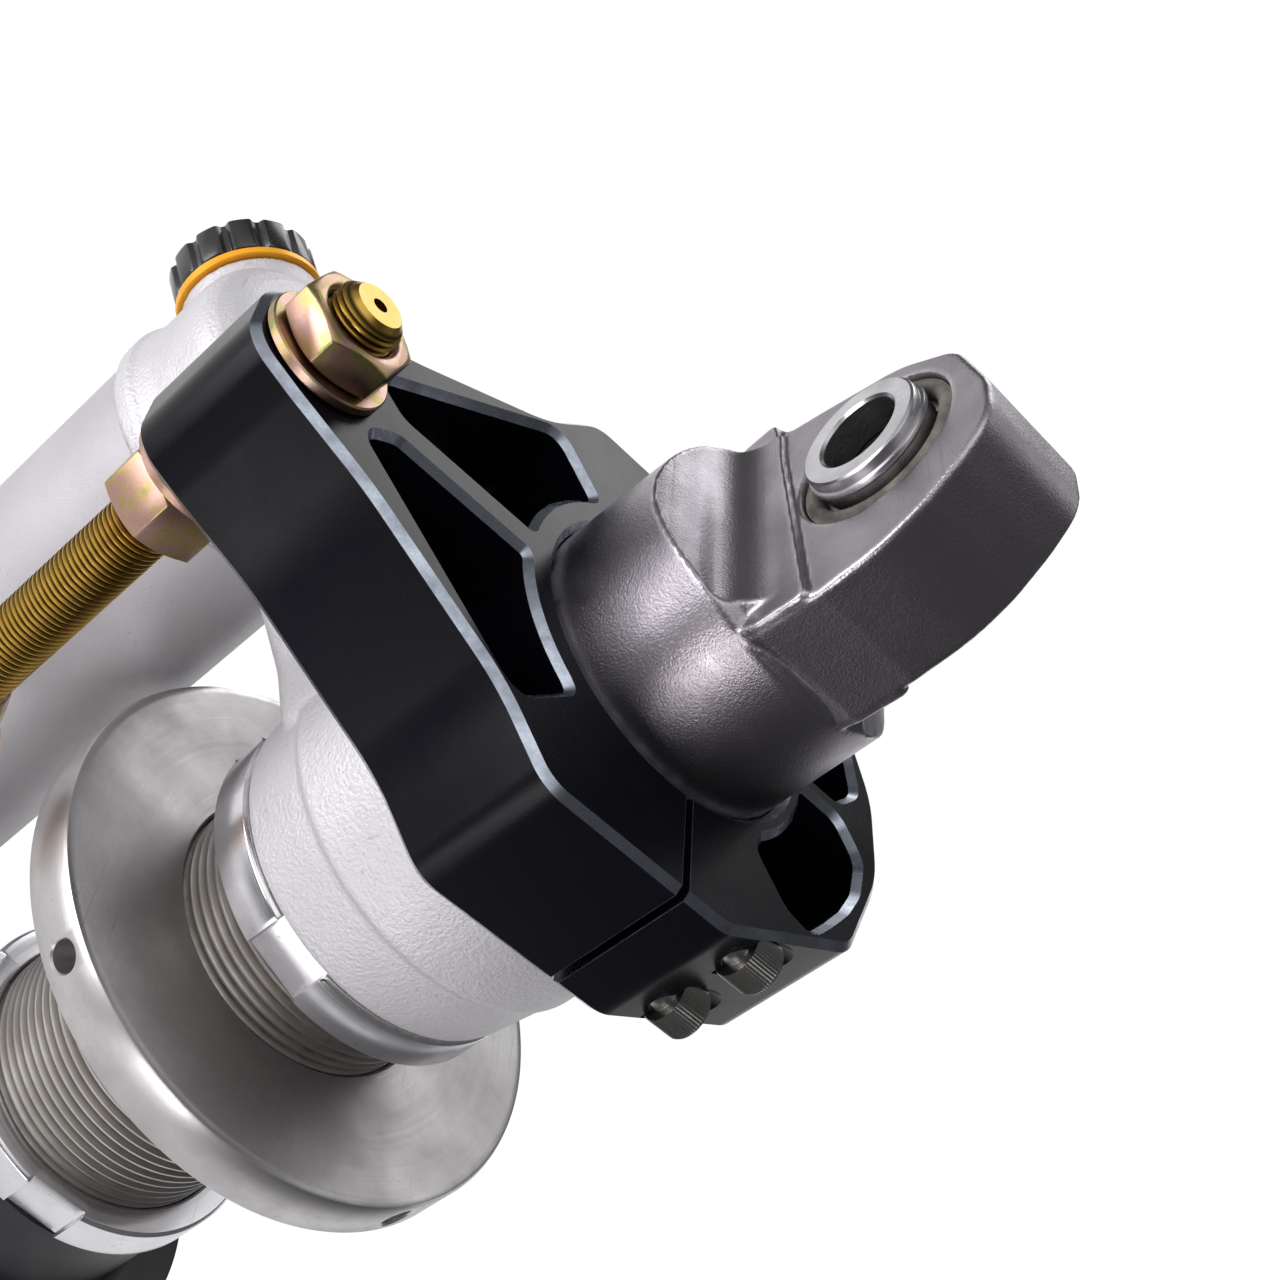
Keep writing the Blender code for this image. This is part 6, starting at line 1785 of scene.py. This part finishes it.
@dataclass
class ShaftSet(Assembly):
    """Shaft with its seal head above and the bump stop and lower eye below."""

    body_r: float = BODY_R
    inner_r: float = 0.0259
    r: float = 0.011
    stud_r: float = 0.006
    foot: float = -0.325
    stud_top: float = -0.2958
    collar_top: float = -0.5363
    socket: float = 0.0135
    wiper_r: float = 0.0175
    bump_h: float = 0.0255
    bump_r: float = 0.0205
    bulges: int = 3
    bulge_steps: int = 12
    perch_top: float = -0.53
    perch_well: float = 0.002
    collar_r: float = 0.0215
    collar_h: float = 0.011
    eye_r: float = 0.0255
    eye_bore_r: float = EYE_BORE_R
    plate_half: float = EYE_PLATE_HALF
    voxel: float = 0.00055

    def lower_eye(self) -> Piece:
        """Return the lower eye with its collar; the collar's thread is not modelled."""
        bench, top, r, eye = self.bench, self.collar_top, self.collar_r, LOW_EYE
        foot, crown = top - self.collar_h, eye + self.eye_bore_r + 0.001
        low = bench.turned("lower_eye_skin", [
            (0, top), (r - 0.001, top), (r, top - 0.001), (r, foot), (r - 0.004, foot - 0.004),
            (r - 0.0055, crown), (0, crown)], 128)
        angles = [math.radians(angle) for angle in range(44, 321, 4)]
        lobe = [(self.eye_r * math.sin(angle), self.eye_r * math.cos(angle), 0.0) for angle in angles]
        outline = Outline.rounded([(-r + 0.0025, foot - eye, 0.0), (r - 0.0025, foot - eye, 0.0), *lobe], 3)
        centre = Matrix.Translation((0, 0, eye))
        plate = bench.prism("lobe", outline, -self.plate_half, self.plate_half, centre @ UPRIGHT)
        bench.bevel(plate, 0.0015, 3, 60.0)
        bench.combine(low, plate, "UNION")
        bore = Outline.rod(self.eye_bore_r, 0.05, -0.05)
        bench.combine(low, bench.turned("bore", bore, 128, Axis.X, (0, 0, eye)))
        socket = Outline.rod(self.r + GAP, top + PAST, top - self.socket)
        bench.combine(low, bench.turned("socket", socket))
        bench.skin(low, self.voxel, 3)
        return low

    def shaft(self) -> Piece:
        """Return the chromed shaft with the piston's stud."""
        end, top, foot = self.collar_top - self.socket + GAP, self.stud_top, self.foot - GAP
        r, stud = self.r, self.stud_r
        return self.bench.turned("shaft_chromed", [
            (0, top), (stud - 0.0008, top), (stud, top - 0.0008), (stud, foot), (r - 0.0006, foot),
            (r, foot - 0.0006), (r, end + 0.0006), (r - 0.0006, end), (0, end)])

    def seal_head(self, lip: float, bore: float) -> Piece:
        """Return the seal head under the body's lower end."""
        r, inner, top, low = self.body_r, self.inner_r, lip + 0.021, lip - 0.0057
        return self.bench.turned("seal_head_turned", [
            (inner - 0.0005, top), (inner, lip + 0.0205), (inner, lip), (r, lip), (r, lip - 0.0047),
            (r - 0.0003, lip - 0.0054), (r - 0.001, low), (bore, low), (bore, top)], 128)

    def wiper(self, top: float, bore: float) -> Piece:
        """Return the wiper seal by its upper face and its hole."""
        r = self.wiper_r
        return self.bench.turned("wiper_seal_lip", [
            (r - 0.0004, top), (r, top - 0.0004), (r, top - 0.001), (r - 0.0003, top - 0.0013),
            (r - 0.0035, top - 0.0018), (self.r + 0.0018, top - 0.0027), (self.r + 0.001, top - 0.0028),
            (bore, top - 0.0026), (bore, top)])

    def bump_stop(self, bore: float) -> Piece:
        """Return the foam stop, bulged between its waists, by its hole."""
        base, last = self.perch_top - self.perch_well + GAP, self.bulges - 1
        profile = [(self.bump_r * 0.66, base + self.bump_h)]
        for index in range(self.bulges):
            for step in range(self.bulge_steps + 1):
                share = 0.96 - 0.92 * step / self.bulge_steps
                swell = 0.76 + 0.22 * math.sin(math.pi * step / self.bulge_steps) ** 0.6
                radius = self.bump_r * swell * (1 - 0.06 * (last - index))
                profile.append((radius, base + self.bump_h * ((last - index) + share) / self.bulges))
        profile += [(self.bump_r * 0.74, base), (bore, base), (bore, base + self.bump_h)]
        return self.bench.turned("bump_stop_foam", profile)

    def build(self) -> None:
        """Model the shaft and all that it carries."""
        fit, lip, bore = self.fitter.fit, BODY_LOW - GAP, self.r + GAP
        fit(self.shaft(), "shaft_chrome", "shaft", Finishes.CHROME, body="lower_shaft")
        seal = self.seal_head(lip, bore)
        fit(seal, "black_anodised", "seal_head", Finishes.BLACK_TURNED)
        wiper = self.wiper(lip - 0.0057 - GAP, bore)
        fit(wiper, "seal_rubber", "wiper_seal", Finishes.RUBBER)
        fit(self.bump_stop(bore), "bumper_foam", "bump_stop", Finishes.FOAM, body="lower_shaft", angle=60.0)
        eye = self.lower_eye()
        fit(eye, "lower_eye_metal", "lower_eye", Finishes.HEAD_STEEL, body="lower_shaft", angle=50.0)


# ---- studio
@dataclass(frozen=True)
class Glow:
    """A soft light patch in what the metal mirrors: its way, its edges as cosines, its strength."""

    way: Point
    inner: float
    outer: float
    strength: float


@dataclass(frozen=True)
class Lamp:
    """A soft lamp that faces the head of the damper; bright metal shows a mirrored one."""

    name: str
    toward: Point
    distance: float
    size: tuple[float, float]
    power: float
    colour: Colour = (1.0, 1.0, 1.0)
    mirrored: bool = False


@dataclass
class Studio:
    """Pale floor, soft lamps, white surroundings and the camera."""

    floor_z: float = -0.6125
    floor_size: float = 12.0
    aim: Point = (0, 0, -0.12)
    shown_base: float = 0.09
    diffuse: float = 0.55
    lens: float = 55.42
    sensor: float = 36.0
    place: Point = (-0.148, -0.27952, 0.0959)
    right: Point = (0.68953, 0.04825, 0.72265)
    up: Point = (-0.60311, 0.5907, 0.53603)
    back: Point = (-0.40101, -0.80545, 0.4364)
    glows: tuple[Glow, ...] = (
        Glow((0.16, 0.9, 0.4), 0.968, 0.935, 2.7),
        Glow((0.5, 0.45, 0.74), 0.975, 0.94, 1.0),
        Glow((-0.41, -0.21, 0.87), 0.96, 0.78, 1.2),
        Glow((-0.9, 0.2, 0.38), 0.95, 0.8, 0.5),
    )
    hung: tuple[Lamp, ...] = (
        Lamp("box_over", (-0.45, 0.1, 0.95), 0.9, (0.7, 0.5), 3.5),
        Lamp("box_left", (-0.95, -0.3, -0.1), 0.9, (0.35, 0.9), 2.6, (1.0, 0.99, 0.98)),
        Lamp("strip_left", (-0.965, -0.215, -0.1), 0.8, (0.58, 0.48), 4.6, (1.0, 0.985, 1.0), True),
        Lamp("strip_front", (-0.27, -0.93, -0.22), 0.8, (0.3, 0.3), 1.9, (1.0, 0.97, 0.96), True),
        Lamp("box_front", (0.05, -0.98, 0.1), 1.0, (0.35, 0.9), 3.0, (1.0, 0.98, 0.97)),
        Lamp("box_back", (0.5, 0.85, 0.35), 1.1, (0.6, 0.9), 3.0),
    )

    def mirrored_floor(self, tree: Tree) -> Socket:
        """Return how bright the metal sees each place of the floor, with one bright patch."""
        where = tree.add("TexCoord").outputs["Object"]
        depth = tree.add("SeparateXYZ", {0: where}).outputs["Y"]
        far = tree.spread(tree.vector("LENGTH", where, output="Value"), 0.64, 0.8)
        front = tree.grey(tree.spread(depth, 0.35, -0.25, 0.95, 0.03))
        shown = tree.blend(far, (0.8, 0.8, 0.8, 1.0), front)
        patch = tree.vector("DISTANCE", where, (-0.46, -0.76, 0.0), "Value")
        return tree.vector("ADD", shown, tree.grey(tree.spread(patch, 0.2, 0.08, 0.0, 3.5)))

    def floor(self) -> None:
        """Lay a pale floor that reads white and that bright metal sees shaded."""
        bpy.ops.object.select_all(action="DESELECT")
        bpy.ops.mesh.primitive_plane_add(size=self.floor_size, location=(0, 0, self.floor_z))
        floor = bpy.context.object
        floor.name = "studio_floor"
        material = bpy.data.materials.new("studio_floor")
        material.use_nodes = True
        tree = Tree(material.node_tree)
        path = tree.add("LightPath").outputs
        seen = tree.math("ADD", path["Is Camera Ray"], path["Is Transmission Ray"], clamp=True)
        shader = material.node_tree.nodes["Principled BSDF"]
        dull = {"Base Color": (0.05, 0.05, 0.05, 1.0), "Roughness": 0.9, "Specular IOR Level": 0.0}
        for key, value in dull.items():
            tree.join(value, shader.inputs[key])
        near_white = tree.math("MULTIPLY", seen, 0.98)
        white = tree.add("Emission", {"Color": (1.0, 1.0, 1.0, 1.0), "Strength": near_white})
        glow = tree.add("Emission", {"Color": self.mirrored_floor(tree), "Strength": path["Is Glossy Ray"]})
        lit = tree.add("AddShader", {0: white.outputs[0], 1: glow.outputs[0]})
        both = tree.add("AddShader", {0: shader.outputs[0], 1: lit.outputs[0]})
        tree.join(both.outputs[0], material.node_tree.nodes["Material Output"].inputs["Surface"])
        floor.data.materials.append(material)
        floor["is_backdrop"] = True

    def surroundings(self) -> None:
        """White behind the object, with soft light patches in what the metal shows."""
        world = bpy.data.worlds.new("studio_world")
        bpy.context.scene.world = world
        world.use_nodes = True
        tree = Tree(world.node_tree)
        background = world.node_tree.nodes["Background"].inputs
        path = tree.add("LightPath").outputs
        way = tree.add("TexCoord").outputs["Generated"]
        shown = self.shown_base
        for glow in self.glows:
            near = tree.vector("DOT_PRODUCT", way, Vector(glow.way).normalized(), "Value")
            shown = tree.math("ADD", shown, tree.spread(near, glow.outer, glow.inner, 0.0, glow.strength))
        lit = tree.math("MULTIPLY", path["Is Glossy Ray"], shown)
        lit = tree.math("ADD", lit, tree.math("MULTIPLY", path["Is Diffuse Ray"], self.diffuse))
        clear = tree.math("ADD", path["Is Camera Ray"], path["Is Transmission Ray"])
        tree.join(tree.math("ADD", lit, clear), background["Strength"])
        tree.join((1.0, 1.0, 1.0, 1.0), background["Color"])

    def lamps(self) -> None:
        """Hang the lamps, which the camera doesn't see."""
        for lamp in self.hung:
            data = bpy.data.lights.new(lamp.name, "AREA")
            data.shape = "RECTANGLE"
            data.size, data.size_y = lamp.size
            data.energy = lamp.power
            data.color = lamp.colour
            obj = bpy.data.objects.new(lamp.name, data)
            bpy.context.scene.collection.objects.link(obj)
            way = Vector(lamp.toward).normalized()
            obj.location = Vector(self.aim) + way * lamp.distance
            obj.rotation_mode = "QUATERNION"
            obj.rotation_quaternion = (-way).to_track_quat("-Z", "Y")
            obj.visible_camera = False
            obj.visible_glossy = lamp.mirrored

    def camera(self) -> None:
        """Set the camera at the photograph's viewpoint."""
        data = bpy.data.cameras.new("view")
        data.lens = self.lens
        data.sensor_width = self.sensor
        data.clip_start, data.clip_end = 0.01, 50.0
        camera = bpy.data.objects.new("view", data)
        bpy.context.scene.collection.objects.link(camera)
        turn = Matrix((self.right, self.up, self.back)).transposed()
        camera.matrix_world = Matrix.Translation(self.place) @ turn.to_4x4()
        bpy.context.scene.camera = camera

    def build(self) -> None:
        """Set up the whole studio."""
        self.floor()
        self.surroundings()
        self.lamps()
        self.camera()
        bpy.context.scene.view_settings.view_transform = "Standard"


# ---- main
CARRIED: dict[str, Finish] = {
    "separator_piston": Finishes.BRUSHED, "separator_seal": Finishes.RUBBER, "piston": Finishes.BRUSHED,
    "piston_shims": Finishes.STEEL, "piston_nut": Finishes.ZINC,
}


def corners(box: tuple[Vector, Vector]) -> list[list[float]]:
    """Return a box's two corners as plain lists."""
    return [[round(value, 6) for value in corner] for corner in box]


def main() -> None:
    """Dress the frame, model the pieces and set the studio."""
    logging.basicConfig(level=logging.INFO, format="%(name)s: %(message)s")
    cad_box = corners(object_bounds())
    shop = FinishShop(EffectShelf())
    for name, finish in CARRIED.items():
        shop.dress(frame["nodes"][name], finish)
    bench = Bench()
    tools = (bench, Fitter(shop, bench))
    housing = HeadHousing(*tools)
    assemblies = (
        EyeHead(*tools), EyeBearing(*tools), ClampPair(*tools), LinkRod(*tools), housing,
        Adjuster(*tools, housing.knob_frame), Reservoir(*tools, housing.centre), BodyRings(*tools),
        SpringSet(*tools), ShaftSet(*tools))
    for assembly in assemblies:
        log.info("building %s", type(assembly).__name__)
        assembly.build()
    bench.clear()
    Studio().build()
    {"cad": cad_box, "visual": corners(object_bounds())}


if __name__ == "__main__":
    main()
